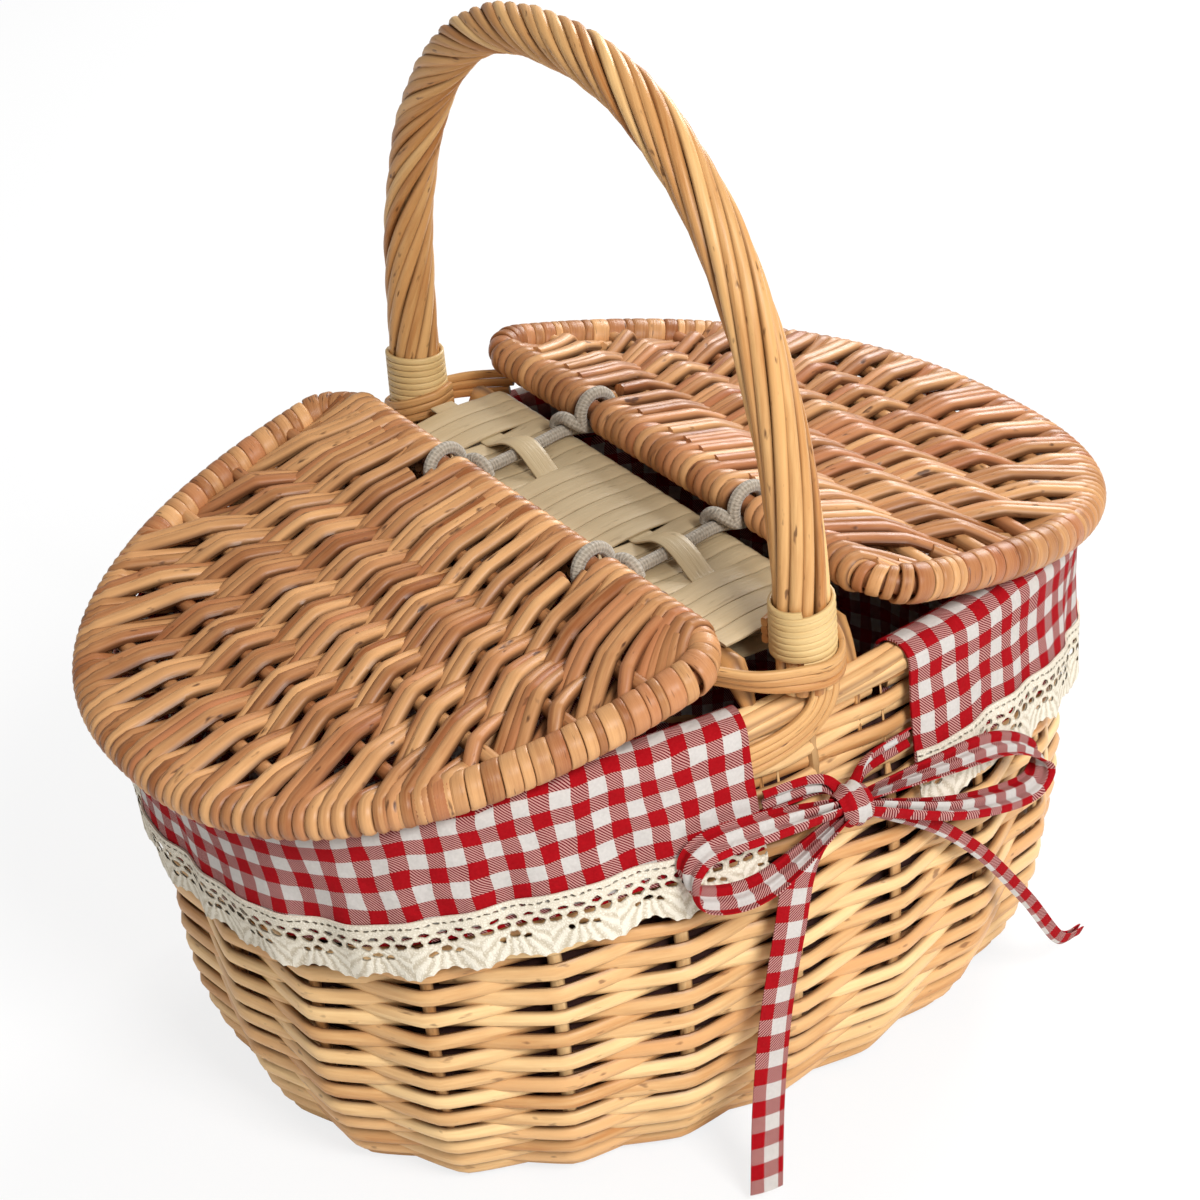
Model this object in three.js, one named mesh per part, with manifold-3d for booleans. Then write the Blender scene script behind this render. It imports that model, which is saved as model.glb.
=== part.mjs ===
// A willow picnic basket with a twisted handle, two hinged lids and a gingham liner tied with bows.
// Millimetres, +Z up. X runs from lid to lid, Y from handle foot to handle foot, with the front at -Y.
// The origin lies on the ground under the middle of the basket.
import * as THREE from 'three';
import { mergeVertices } from 'three/addons/utils/BufferGeometryUtils.js';
import Module from 'manifold-3d';

// Driving dimensions: fits
const FIT = 0.3;
const CLOTH_FIT = 0.9;
const WINDING_GAP = 0.6;

// Driving dimensions: woven body
const BASE_HALF_LENGTH = 155;
const BASE_HALF_WIDTH = 112;
const BELLY_HALF_LENGTH = 178;
const BELLY_HALF_WIDTH = 140;
const BELLY_HEIGHT = 110;
const BELLY_CURVE = 3.5;
const RIM_HALF_LENGTH = 188;
const RIM_HALF_WIDTH = 131;
const RIM_HEIGHT = 186;
const RIM_BLEND = 3;
const PLAN_POWER = 2.4;
const WALL_THICKNESS = 9;
const WEAVE_DIP = 4;
const FLOOR_THICKNESS = 9;
const BORDER_DIAMETER = 13;

// Driving dimensions: handle
const HANDLE_RISE = 178;
const HANDLE_POWER = 2.29;
const HANDLE_LIFT = 20;
const HANDLE_ROD_COUNT = 11;
const HANDLE_ROD_DIAMETER = 4.25;
const HANDLE_ROD_GAP = 0.5;
const HANDLE_TURNS = 1;
const HANDLE_END_DEPTH = 46;
const HANDLE_END_DIAMETER = 4;
const BINDING_TURNS = 6;
const BINDING_WIDTH = 2.9;
const BINDING_THICKNESS = 1.1;
const COLLAR_TURNS = 3;
const COLLAR_WIDTH = 3;
const COLLAR_THICKNESS = 2;
const TAIL_COUNT = 4;
const TAIL_ROD_WIDTH = 3;
const TAIL_ROD_THICKNESS = 2;

// Driving dimensions: centre bar and hinge cords
const BAR_ROD_DIAMETER = 10;
const BAR_ROD_SPACING = 43.6;
const BAR_LIFT = 10;
const BAR_END_GAP = 8;
const BAR_END_DEPTH = 28;
const BAR_END_DIAMETER = 4.4;
const BAR_TURNS = 21;
const SKEIN_THICKNESS = 1.3;
const LISTING_WIDTH = 10;
const LISTING_THICKNESS = 1;
const LISTING_SHOWN = 40;
const CORD_DIAMETER = 5;
const CORD_SPACING = 100;
const CORD_LOOP_SLACK = 0.7;
const CORD_SLOT_GAP = 0.5;
const CORD_LOOP_DEGREES = 300;

// Driving dimensions: lids
const HINGE_OFFSET = 34.1;
const HINGE_RISE = 15;
const LID_DROOP_DEGREES = 13;
const LID_OVERHANG = 7;
const LID_POWER = 2.36;
const LID_CORNER_RADIUS = 16;
const LID_THICKNESS = 9;
const LID_ROLL_DIAMETER = 15;
const LID_FRAME_DIAMETER = 8;
const LID_RIB_COUNT = 5;
const LID_RIB_DIAMETER = 5;
const LID_SEAT_GAP = 0.8;

// Driving dimensions: liner, lace and bows
const CLOTH_THICKNESS = 1.2;
const CUFF_DROP = 41;
const CUFF_INNER_DROP = 25;
const CUFF_GAP_LEFT = 29;
const CUFF_GAP_RIGHT = 39;
const CUFF_FOLDS = 9;
const CUFF_FOLD_DEPTH = 2;
const LACE_WIDTH = 23;
const LACE_FOLDS = 16;
const LACE_FOLD_DEPTH = 2.4;
const LACE_SCALLOP = 3;
const RIBBON_WIDTH = 14;
const RIBBON_THICKNESS = 1.1;
const FOLDED_RIBBON_WIDTH = 8;
const KNOT_ACROSS = 5;
const KNOT_DROP = 43;
const KNOT_STAND_OFF = 9;
const KNOT_LENGTH = 18;
const KNOT_DEPTH = 13;
const KNOT_HEIGHT = 16;
const ARM_RISE = 9;
const ARM_GAP = 1.2;
const LOOP_STAND_OFF = 12;
const LEFT_LOOP_REACH = 69;
const LEFT_LOOP_RISE = 8;
const LEFT_LOOP_SAG = 14;
const RIGHT_LOOP_REACH = 98;
const RIGHT_LOOP_SAG = 32;
const TAIL_STAND_OFF = 6;
const LEFT_TAIL_SWING = 32;
const LEFT_TAIL_GROUND_GAP = 2;
const RIGHT_TAIL_REACH = 122;
const RIGHT_TAIL_TIP_HEIGHT = 19;
const RIGHT_TAIL_TIP_STAND_OFF = 14;
const HANG_HEIGHT = 75;

// Facet counts
const PLAN_STEPS = 36;
const CUFF_DIVISIONS = 2;
const LACE_DIVISIONS = 4;
const ARCH_STEPS = 20;
const WOUND_STEPS = 12;
const LID_ARC_STEPS = 20;

// Places that follow from the driving dimensions
const DROOP = THREE.MathUtils.degToRad(LID_DROOP_DEGREES);
const BORDER_RADIUS = BORDER_DIAMETER / 2;
const BAR_HEIGHT = RIM_HEIGHT + BAR_LIFT;
const HINGE_HEIGHT = BAR_HEIGHT + HINGE_RISE;
const HANDLE_FOOT_HEIGHT = RIM_HEIGHT + HANDLE_LIFT;
const X_AXIS = new THREE.Vector3(1, 0, 0);
const Y_AXIS = new THREE.Vector3(0, 1, 0);
const Z_AXIS = new THREE.Vector3(0, 0, 1);

// Colours
const STRAW = { color: 0xd9a860, roughness: 0.6, metalness: 0 };
const BUFF = { color: 0xc98a50, roughness: 0.55, metalness: 0 };
const CREAM = { color: 0xe0cf9e, roughness: 0.6, metalness: 0 };
const COTTON = { color: 0xa89c86, roughness: 0.9, metalness: 0 };
const GINGHAM = { color: 0xc8545e, roughness: 0.9, metalness: 0 };
const LACE = { color: 0xe8dcc0, roughness: 0.9, metalness: 0 };

const wasm = await Module();
wasm.setup();

// Joins section rings into one closed solid. Each ring has the same number of points.
// A path that doesn't close on itself gets a flat cap on its first and last ring.
function loft(rings, closed = false) {
  const count = rings[0].length;
  const positions = rings.flat().flatMap((point) => [point.x, point.y, point.z]);
  const triangles = [];
  const spans = closed ? rings.length : rings.length - 1;
  for (let i = 0; i < spans; i++) {
    const here = i * count;
    const next = ((i + 1) % rings.length) * count;
    for (let j = 0; j < count; j++) {
      const k = (j + 1) % count;
      triangles.push(here + j, here + k, next + k, here + j, next + k, next + j);
    }
  }
  if (!closed) {
    const last = (rings.length - 1) * count;
    for (const [a, b, c] of capTriangles(count)) {
      triangles.push(a, c, b, last + a, last + b, last + c);
    }
  }
  return outward(positions, triangles);
}

// Triangles across a ring, zigzagging between its two sides, which suits round and thin sections alike.
function capTriangles(count) {
  const triangles = [];
  let low = 0;
  let high = count - 1;
  while (high - low > 1) {
    triangles.push([low, low + 1, high]);
    low += 1;
    if (high - low > 1) {
      triangles.push([low, high - 1, high]);
      high -= 1;
    }
  }
  return triangles;
}

// A geometry whose faces point out, whichever way round its triangles were listed.
function outward(positions, triangles) {
  const corner = (index) => new THREE.Vector3().fromArray(positions, 3 * triangles[index]);
  let volume = 0;
  for (let i = 0; i < triangles.length; i += 3) {
    volume += corner(i).dot(corner(i + 1).cross(corner(i + 2)));
  }
  const geometry = new THREE.BufferGeometry();
  geometry.setAttribute('position', new THREE.Float32BufferAttribute(positions, 3));
  geometry.setIndex(volume < 0 ? triangles.reverse() : triangles);
  geometry.computeVertexNormals();
  return geometry;
}

// Rings of a section swept along a path. The section gives [across, along the second side] pairs, and
// the reference direction, made square to the path, is the section's first side.
function sweepRings(path, section, reference, closed = false) {
  return path.map((point, i) => {
    const before = path[closed ? (i + path.length - 1) % path.length : Math.max(i - 1, 0)];
    const after = path[closed ? (i + 1) % path.length : Math.min(i + 1, path.length - 1)];
    const tangent = after.clone().sub(before).normalize();
    const across = reference.clone().addScaledVector(tangent, -reference.dot(tangent)).normalize();
    const second = tangent.clone().cross(across);
    return section(i).map(([u, v]) => point.clone().addScaledVector(across, u).addScaledVector(second, v));
  });
}

function sweep(path, section, reference, closed = false) {
  return loft(sweepRings(path, section, reference, closed), closed);
}

function roundSection(radius, sides) {
  return Array.from({ length: sides }, (_, i) => {
    const angle = (2 * Math.PI * (i + 0.5)) / sides;
    return [radius * Math.cos(angle), radius * Math.sin(angle)];
  });
}

function flatSection(width, thickness) {
  const u = width / 2;
  const v = thickness / 2;
  return [[-u, -v], [u, -v], [u, v], [-u, v]];
}

function asSolid(geometry) {
  const bare = new THREE.BufferGeometry();
  bare.setAttribute('position', geometry.getAttribute('position'));
  bare.setIndex(geometry.getIndex());
  const merged = mergeVertices(bare, 1e-4);
  const vertProperties = merged.getAttribute('position').array;
  const triVerts = new Uint32Array(merged.getIndex().array);
  return new wasm.Manifold(new wasm.Mesh({ numProp: 3, vertProperties, triVerts }));
}

function asGeometry(solid) {
  const { vertProperties, triVerts } = solid.getMesh();
  const geometry = new THREE.BufferGeometry();
  geometry.setAttribute('position', new THREE.BufferAttribute(vertProperties, 3));
  geometry.setIndex(new THREE.BufferAttribute(triVerts, 1));
  geometry.computeVertexNormals();
  return geometry;
}

// A geometry with every cutter taken away from it.
function cut(geometry, cutters) {
  const left = cutters.reduce((solid, cutter) => solid.subtract(asSolid(cutter)), asSolid(geometry));
  return asGeometry(left);
}

const basket = new THREE.Group();

function addPiece(name, geometry, look, parent = basket) {
  const mesh = new THREE.Mesh(geometry, new THREE.MeshStandardMaterial(look));
  mesh.name = name;
  parent.add(mesh);
  return mesh;
}

// Adds a piece and its copy turned half round about the basket's upright axis.
function addPair(firstName, secondName, geometry, look) {
  addPiece(firstName, geometry, look);
  addPiece(secondName, geometry.clone(), look).rotation.z = Math.PI;
}

function signedPower(value, power) {
  return Math.sign(value) * Math.abs(value) ** power;
}

function planPoint(halfLength, halfWidth, angle) {
  const x = halfLength * signedPower(Math.cos(angle), 2 / PLAN_POWER);
  const y = halfWidth * signedPower(Math.sin(angle), 2 / PLAN_POWER);
  return new THREE.Vector2(x, y);
}

// Half length and half width of the wall's outside at a height: a bowl up to the belly, then straight.
function wallHalves(z) {
  if (z < BELLY_HEIGHT) {
    const rise = 1 - (1 - z / BELLY_HEIGHT) ** BELLY_CURVE;
    return [
      THREE.MathUtils.lerp(BASE_HALF_LENGTH, BELLY_HALF_LENGTH, rise),
      THREE.MathUtils.lerp(BASE_HALF_WIDTH, BELLY_HALF_WIDTH, rise),
    ];
  }
  const rise = (z - BELLY_HEIGHT) / (RIM_HEIGHT - BELLY_HEIGHT);
  return [
    THREE.MathUtils.lerp(BELLY_HALF_LENGTH, RIM_HALF_LENGTH, rise),
    THREE.MathUtils.lerp(BELLY_HALF_WIDTH, RIM_HALF_WIDTH, rise),
  ];
}

// A point at a height on the wall's outside, pushed out by an offset.
function wallPoint(angle, z, offset) {
  const [halfLength, halfWidth] = wallHalves(z);
  const plan = planPoint(halfLength + offset, halfWidth + offset, angle);
  return new THREE.Vector3(plan.x, plan.y, z);
}

// The front of the wall at a place across it.
function wallFront(x, z) {
  const [halfLength, halfWidth] = wallHalves(z);
  return -halfWidth * (1 - Math.abs(x / halfLength) ** PLAN_POWER) ** (1 / PLAN_POWER);
}

// Plan angle on the front or back of the rim where it lies at x.
function rimAngle(x, side) {
  const share = Math.abs(x / (RIM_HALF_LENGTH - WALL_THICKNESS / 2)) ** (PLAN_POWER / 2);
  return side * Math.acos(Math.sign(x) * share);
}

// Height of the rim's top: level at the handle, and falling towards the ends as the drooping lids do.
function rimTop(angle) {
  const x = Math.abs(planPoint(RIM_HALF_LENGTH - WALL_THICKNESS / 2, RIM_HALF_WIDTH, angle).x);
  const lidMiddle = HINGE_HEIGHT - (x - HINGE_OFFSET) * Math.tan(DROOP);
  const seat = lidMiddle - LID_THICKNESS / 2 / Math.cos(DROOP) - LID_SEAT_GAP - CLOTH_THICKNESS - CLOTH_FIT;
  return RIM_HEIGHT - RIM_BLEND * Math.log(1 + Math.exp((RIM_HEIGHT - seat) / RIM_BLEND));
}

// A point round the border's section, measured from the border's middle line.
function borderPoint(angle, out, up) {
  const z = rimTop(angle) - BORDER_RADIUS;
  const [halfLength, halfWidth] = wallHalves(z);
  const offset = out - WALL_THICKNESS / 2;
  const plan = planPoint(halfLength + offset, halfWidth + offset, angle);
  return new THREE.Vector3(plan.x, plan.y, z + up);
}

function angleSteps(first, last, steps) {
  return Array.from({ length: steps + 1 }, (_, i) => first + ((last - first) * i) / steps);
}

const PLAN_STEP = (2 * Math.PI) / PLAN_STEPS;
const PLAN_ANGLES = angleSteps(0, 2 * Math.PI, PLAN_STEPS).slice(0, PLAN_STEPS);

// A place on the flat facet between the plan's corners on either side of an angle.
function faceted(angle, place) {
  const corner = Math.floor(angle / PLAN_STEP);
  const share = angle / PLAN_STEP - corner;
  return place(corner * PLAN_STEP).lerp(place((corner + 1) * PLAN_STEP), share);
}

const FOOT_Y = -borderPoint(-Math.PI / 2, 0, 0).y;

function floorGeometry() {
  const corners = PLAN_ANGLES.map((angle) => {
    return planPoint(BASE_HALF_LENGTH - WALL_THICKNESS - FIT, BASE_HALF_WIDTH - WALL_THICKNESS - FIT, angle);
  });
  return new THREE.ExtrudeGeometry(new THREE.Shape(corners), { depth: FLOOR_THICKNESS, bevelEnabled: false });
}

// Shares of the wall's height where it changes slope, shared by the liner inside it.
const WALL_ROWS = [0, 0.08, 0.2, 0.38, 0.62, 1];

function wallTop(angle) {
  return rimTop(angle) - BORDER_DIAMETER - FIT;
}

// Rows of the wall's outside. Its face dips in at every other place along a row, where a rod passes behind
// a stake, and stays full where the ends of the handle and of the bar are pushed into the wall.
const WEAVE_ROWS = [0, 0.08, ...angleSteps(0.2, 1, 6)];

function wovenPoint(angle, column, row) {
  const share = WEAVE_ROWS[row];
  const place = wallPoint(angle, share * wallTop(angle), 0);
  const holdsEnds = share > 0.5 && Math.abs(place.x) < BAR_ROD_SPACING;
  const dips = share > 0 && share < 1 && !holdsEnds && (column + row) % 2 === 1;
  return dips ? wallPoint(angle, place.z, -WEAVE_DIP) : place;
}

function wallGeometry() {
  const rings = PLAN_ANGLES.map((angle, column) => {
    const outside = WEAVE_ROWS.map((_, row) => wovenPoint(angle, column, row));
    const inside = WALL_ROWS.map((row) => wallPoint(angle, row * wallTop(angle), -WALL_THICKNESS));
    return [...outside, ...inside.reverse()];
  });
  return loft(rings, true);
}

function borderGeometry() {
  const section = roundSection(BORDER_RADIUS, 8);
  return loft(PLAN_ANGLES.map((angle) => section.map(([out, up]) => borderPoint(angle, out, up))), true);
}

// The handle's middle line: upright legs up to the feet, then a superellipse arch in the YZ plane.
function archPoint(angle) {
  const y = -FOOT_Y * signedPower(Math.cos(angle), 2 / HANDLE_POWER);
  const z = HANDLE_FOOT_HEIGHT + HANDLE_RISE * Math.abs(Math.sin(angle)) ** (2 / HANDLE_POWER);
  return new THREE.Vector3(0, y, z);
}

const ARCH = angleSteps(0, Math.PI, ARCH_STEPS).map(archPoint);
const ROD_RADIUS = HANDLE_ROD_DIAMETER / 2;
const ROD_CIRCLE = (HANDLE_ROD_DIAMETER + HANDLE_ROD_GAP) / 2 / Math.sin(Math.PI / HANDLE_ROD_COUNT);
const CORE_RADIUS = ROD_CIRCLE - ROD_RADIUS - FIT;
const HANDLE_RADIUS = ROD_CIRCLE + ROD_RADIUS;

// Path of a sharpened end that leaves a level at the front rim and runs down inside the wall.
function wallEnd(x, depth) {
  const middle = (z) => wallFront(x, z) + WALL_THICKNESS / 2;
  return [0, 0.3, 0.65, 1].map((share) => {
    const z = RIM_HEIGHT - BORDER_RADIUS - share * depth;
    return new THREE.Vector3(x, middle(z), z);
  });
}

function turned(points) {
  return points.map((point) => new THREE.Vector3(-point.x, -point.y, point.z)).reverse();
}

// The bow of the handle, sharpened below the rim. Clearance widens it into the socket that it sits in.
function handleCoreGeometry(clearance) {
  const end = wallEnd(0, HANDLE_END_DEPTH).reverse();
  const path = [...end, ...ARCH, ...turned(end)];
  const radii = path.map((point) => {
    const bared = THREE.MathUtils.clamp((point.z - RIM_HEIGHT + BORDER_RADIUS) / HANDLE_LIFT, 0, 1);
    return THREE.MathUtils.lerp(HANDLE_END_DIAMETER / 2, CORE_RADIUS, bared) + clearance;
  });
  return sweep(path, (i) => roundSection(radii[i], 7), X_AXIS);
}

function handleRodGeometry(index) {
  const foot = new THREE.Vector3(0, -FOOT_Y, RIM_HEIGHT + 2 * FIT);
  const path = [foot, ...ARCH, ...turned([foot])];
  const lengths = path.map((point, i) => (i ? point.distanceTo(path[i - 1]) : 0));
  const total = lengths.reduce((sum, length) => sum + length);
  let along = 0;
  const section = (i) => {
    along = i ? along + lengths[i] : 0;
    const twist = 2 * Math.PI * (index / HANDLE_ROD_COUNT + (HANDLE_TURNS * along) / total);
    const middle = [ROD_CIRCLE * Math.cos(twist), ROD_CIRCLE * Math.sin(twist)];
    return Array.from({ length: 5 }, (_, side) => {
      const angle = twist + (2 * Math.PI * side) / 5;
      return [middle[0] + ROD_RADIUS * Math.cos(angle), middle[1] + ROD_RADIUS * Math.sin(angle)];
    });
  };
  return sweep(path, section, X_AXIS);
}

// Least distance between ring points of a wound band that lie more than half a turn apart.
function leastSelfGap(rings, stepsPerTurn) {
  let least = Infinity;
  rings.forEach((ring, i) => {
    for (const other of rings.slice(i + stepsPerTurn / 2)) {
      for (const point of ring) {
        least = Math.min(least, ...other.map((far) => point.distanceTo(far)));
      }
    }
  });
  return least;
}

function woundBand(name, rings, stepsPerTurn) {
  console.log(`${name}: least gap to itself ${leastSelfGap(rings, stepsPerTurn).toFixed(2)} mm`);
  return loft(rings);
}

// A flat band wound round the near handle foot, one turn above the other.
function footBand(name, turns, width, thickness, lowest) {
  const corner = Math.cos(Math.PI / WOUND_STEPS);
  const inner = (HANDLE_RADIUS + FIT) / corner;
  const pitch = width + WINDING_GAP;
  const rings = Array.from({ length: turns * WOUND_STEPS + 1 }, (_, i) => {
    const angle = (2 * Math.PI * i) / WOUND_STEPS;
    const bottom = lowest + (pitch * i) / WOUND_STEPS;
    const place = (radius, z) => {
      return new THREE.Vector3(radius * Math.cos(angle), radius * Math.sin(angle) - FOOT_Y, z);
    };
    const outer = inner + thickness;
    const top = bottom + width;
    return [place(inner, bottom), place(outer, bottom), place(outer, top), place(inner, top)];
  });
  return woundBand(name, rings, WOUND_STEPS);
}

const COLLAR_BOTTOM = RIM_HEIGHT + 2 * FIT;
const BINDING_BOTTOM = COLLAR_BOTTOM + (COLLAR_TURNS + 1) * (COLLAR_WIDTH + WINDING_GAP);

// Rod ends that leave the collar side by side and sweep down the border towards the left cuff.
function footTailsGeometry() {
  const width = TAIL_COUNT * TAIL_ROD_WIDTH;
  const reach = CUFF_GAP_LEFT - 2 * FIT;
  const top = COLLAR_BOTTOM - 2 * FIT;
  const out = BORDER_RADIUS + TAIL_ROD_THICKNESS / 2 + 2 * FIT;
  const path = angleSteps(0, Math.PI / 2, 6).map((angle) => {
    const x = width / 2 - reach * (1 - Math.cos(angle));
    const z = top - (BORDER_DIAMETER + FIT) * Math.sin(angle);
    const [, halfWidth] = wallHalves(RIM_HEIGHT - BORDER_RADIUS);
    return new THREE.Vector3(x, -halfWidth + WALL_THICKNESS / 2 - out, z);
  });
  const bumps = Array.from({ length: 2 * TAIL_COUNT + 1 }, (_, i) => {
    const v = i % 2 ? TAIL_ROD_THICKNESS / 2 : 0;
    return [((i / TAIL_COUNT - 1) * width) / 2, v];
  });
  const flat = bumps.map(([u]) => [u, -TAIL_ROD_THICKNESS / 2]).reverse();
  const section = [...bumps, ...flat];
  const rings = path.map((point, i) => {
    const angle = (i * Math.PI) / 12;
    const across = new THREE.Vector3(Math.cos(angle), 0, -Math.sin(angle));
    return section.map(([u, v]) => point.clone().addScaledVector(across, u).addScaledVector(Y_AXIS, -v));
  });
  return loft(rings);
}

// Centre bar. Its two rods bend down at both ends and are pushed into the wall beside the handle.
const BAR_X = BAR_ROD_SPACING / 2;
const BAR_ROD_RADIUS = BAR_ROD_DIAMETER / 2;
const BAR_STRAIGHT = FOOT_Y - HANDLE_RADIUS - BINDING_THICKNESS - BAR_END_GAP;

function barRodGeometry(x, clearance) {
  const end = wallEnd(x, BAR_END_DEPTH).reverse();
  const wall = end[end.length - 1].y;
  const straight = new THREE.Vector3(x, -BAR_STRAIGHT, BAR_HEIGHT);
  const bend = new THREE.QuadraticBezierCurve3(straight, new THREE.Vector3(x, wall, BAR_HEIGHT), end.at(-1));
  const half = [...end.slice(0, -1), ...bend.getPoints(5).reverse()];
  const mirrored = half.map((point) => new THREE.Vector3(point.x, -point.y, point.z)).reverse();
  const path = [...half, ...mirrored];
  const radii = path.map((point) => {
    const above = point.z - RIM_HEIGHT + BORDER_RADIUS;
    const bared = THREE.MathUtils.clamp(above / (BAR_LIFT + BORDER_RADIUS), 0, 1);
    return THREE.MathUtils.lerp(BAR_END_DIAMETER / 2, BAR_ROD_RADIUS, bared) + clearance;
  });
  return sweep(path, (i) => roundSection(radii[i], 7), X_AXIS);
}

// Middle radius of the skein where it turns round a bar rod in steps of an eighth of a turn.
const SKEIN_RADIUS = (BAR_ROD_RADIUS + FIT + SKEIN_THICKNESS / 2) / Math.cos(Math.PI / 8);
const BAR_TOP = BAR_HEIGHT + SKEIN_RADIUS + SKEIN_THICKNESS / 2;
const LISTING_HEIGHT = BAR_HEIGHT + SKEIN_RADIUS;
const LISTING_STEP = SKEIN_THICKNESS / 2 + FIT + LISTING_THICKNESS / 2;
const CORD_HEIGHT = BAR_TOP + FIT + CORD_DIAMETER / 2;

function listingShows(y) {
  return Math.abs(Math.abs(y) - CORD_SPACING / 2) < LISTING_SHOWN / 2;
}

// Cream skein wound over both rods. Its turns pass under the listing where the listing shows.
function barWindingGeometry() {
  const pitch = (2 * BAR_STRAIGHT) / (BAR_TURNS + 1);
  const width = pitch - WINDING_GAP;
  const shoulder = LISTING_WIDTH / 2 + 2;
  const round = [0, 1, 2, 3, 4].map((step) => (step * Math.PI) / 4);
  const right = round.map((angle) => {
    return [BAR_X + SKEIN_RADIUS * Math.sin(angle), SKEIN_RADIUS * Math.cos(angle)];
  });
  const left = right.map(([x, z]) => [-x, -z]);
  const loop = [[-shoulder, 0], [shoulder, 0], ...right, ...left];
  const path = [];
  for (let turn = 0; turn < BAR_TURNS; turn++) {
    loop.forEach(([x, z], step) => {
      const y = -BAR_STRAIGHT + pitch * (turn + 0.5 + step / loop.length);
      const rise = listingShows(y) ? -LISTING_STEP : LISTING_STEP;
      path.push(new THREE.Vector3(x, y, BAR_HEIGHT + (step < 2 ? SKEIN_RADIUS + rise : z)));
    });
  }
  const rings = sweepRings(path, () => flatSection(width, SKEIN_THICKNESS), Y_AXIS);
  return woundBand('bar_winding', rings, loop.length);
}

// The strip along the bar, humped where the hinge cords pass under it.
function listingGeometry() {
  const hump = CORD_HEIGHT + CORD_DIAMETER / 2 + FIT + LISTING_THICKNESS / 2 - LISTING_HEIGHT;
  const flank = LISTING_SHOWN / 2 - 2;
  const crest = CORD_DIAMETER / 2 + 2;
  const profile = [[-flank, 0], [-crest, hump], [crest, hump], [flank, 0]];
  const path = [new THREE.Vector3(0, -BAR_STRAIGHT, LISTING_HEIGHT)];
  for (const side of [-1, 1]) {
    for (const [along, rise] of profile) {
      path.push(new THREE.Vector3(0, (side * CORD_SPACING) / 2 + along, LISTING_HEIGHT + rise));
    }
  }
  path.push(new THREE.Vector3(0, BAR_STRAIGHT, LISTING_HEIGHT));
  return sweep(path, () => flatSection(LISTING_WIDTH, LISTING_THICKNESS), X_AXIS);
}

// Hinge cords. Each crosses the bar under the listing and loops round both lids' hinge rods.
const CORD_RADIUS = CORD_DIAMETER / 2;
const CORD_LOOP_RADIUS = LID_FRAME_DIAMETER / 2 + CORD_LOOP_SLACK + CORD_RADIUS;
const CORD_PITCH = CORD_DIAMETER + 2 * CORD_LOOP_SLACK;
const SLOT_RADIUS = CORD_LOOP_RADIUS + CORD_RADIUS + CORD_SLOT_GAP;
const SLOT_WIDTH = CORD_PITCH + CORD_DIAMETER + 2 * CORD_SLOT_GAP;

function hingeCordGeometry(side) {
  const middle = (side * CORD_SPACING) / 2;
  const loop = angleSteps(0, CORD_LOOP_DEGREES, 14).map((degrees) => {
    const angle = THREE.MathUtils.degToRad(degrees);
    const x = -HINGE_OFFSET - CORD_LOOP_RADIUS * Math.sin(angle);
    const z = HINGE_HEIGHT - CORD_LOOP_RADIUS * Math.cos(angle);
    return new THREE.Vector3(x, CORD_PITCH * (degrees / 360 - 0.5), z);
  });
  const crossing = [-1, -1 / 3].map((share) => {
    return new THREE.Vector3(share * BAR_X, (share * CORD_PITCH) / 2, CORD_HEIGHT);
  });
  const half = [...loop.reverse(), ...crossing];
  const path = [...half, ...turned(half)].map((point) => point.add(new THREE.Vector3(0, middle, 0)));
  return sweep(path, () => roundSection(CORD_RADIUS, 6), Y_AXIS);
}

// Lids, each made flat with its hinge rod's middle line on Y and its depth along +X, then tilted and placed.
const LID_DEPTH = (RIM_HALF_LENGTH + LID_OVERHANG - HINGE_OFFSET) / Math.cos(DROOP);
const LID_HALF_WIDTH = RIM_HALF_WIDTH + LID_OVERHANG - LID_ROLL_DIAMETER / 2 - WALL_THICKNESS / 4;
const FRAME_RADIUS = LID_FRAME_DIAMETER / 2;
const RIB_RADIUS = LID_RIB_DIAMETER / 2;

function lidWidthAt(depth) {
  return LID_HALF_WIDTH * (1 - (depth / LID_DEPTH) ** LID_POWER) ** (1 / LID_POWER);
}

// Middle line of the lid's frame: a D with rounded corners.
function lidOutline() {
  const corner = LID_CORNER_RADIUS;
  const side = lidWidthAt(corner);
  const start = Math.asin((corner / LID_DEPTH) ** (LID_POWER / 2));
  const arc = angleSteps(start, Math.PI - start, LID_ARC_STEPS).map((angle) => {
    const x = LID_DEPTH * Math.sin(angle) ** (2 / LID_POWER);
    const y = LID_HALF_WIDTH * signedPower(Math.cos(angle), 2 / LID_POWER);
    return new THREE.Vector3(x, y, 0);
  });
  const bends = angleSteps(0, Math.PI / 2, 4).slice(1).map((angle) => {
    return new THREE.Vector3(corner * (1 - Math.sin(angle)), -side + corner * (1 - Math.cos(angle)), 0);
  });
  const otherBends = bends.map((point) => new THREE.Vector3(point.x, -point.y, 0)).reverse();
  return [...arc, ...bends, ...otherBends];
}

function alongWidth(radius, halfLength, depth, middle, sides) {
  const path = [-halfLength, halfLength].map((y) => new THREE.Vector3(depth, middle + y, 0));
  return sweep(path, () => roundSection(radius, sides), X_AXIS);
}

const RIB_SPACING = LID_DEPTH / (LID_RIB_COUNT + 1);
const RIB_DEPTHS = Array.from({ length: LID_RIB_COUNT }, (_, i) => RIB_SPACING * (i + 1));

// Half length of a rib that stops just short of the frame where the frame slants past its end.
function ribHalfLength(depth) {
  const far = depth + RIB_RADIUS;
  const slope = lidWidthAt(far) - lidWidthAt(far + 1);
  return lidWidthAt(far) - (FRAME_RADIUS + 2 * FIT) * Math.hypot(1, slope);
}

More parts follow.
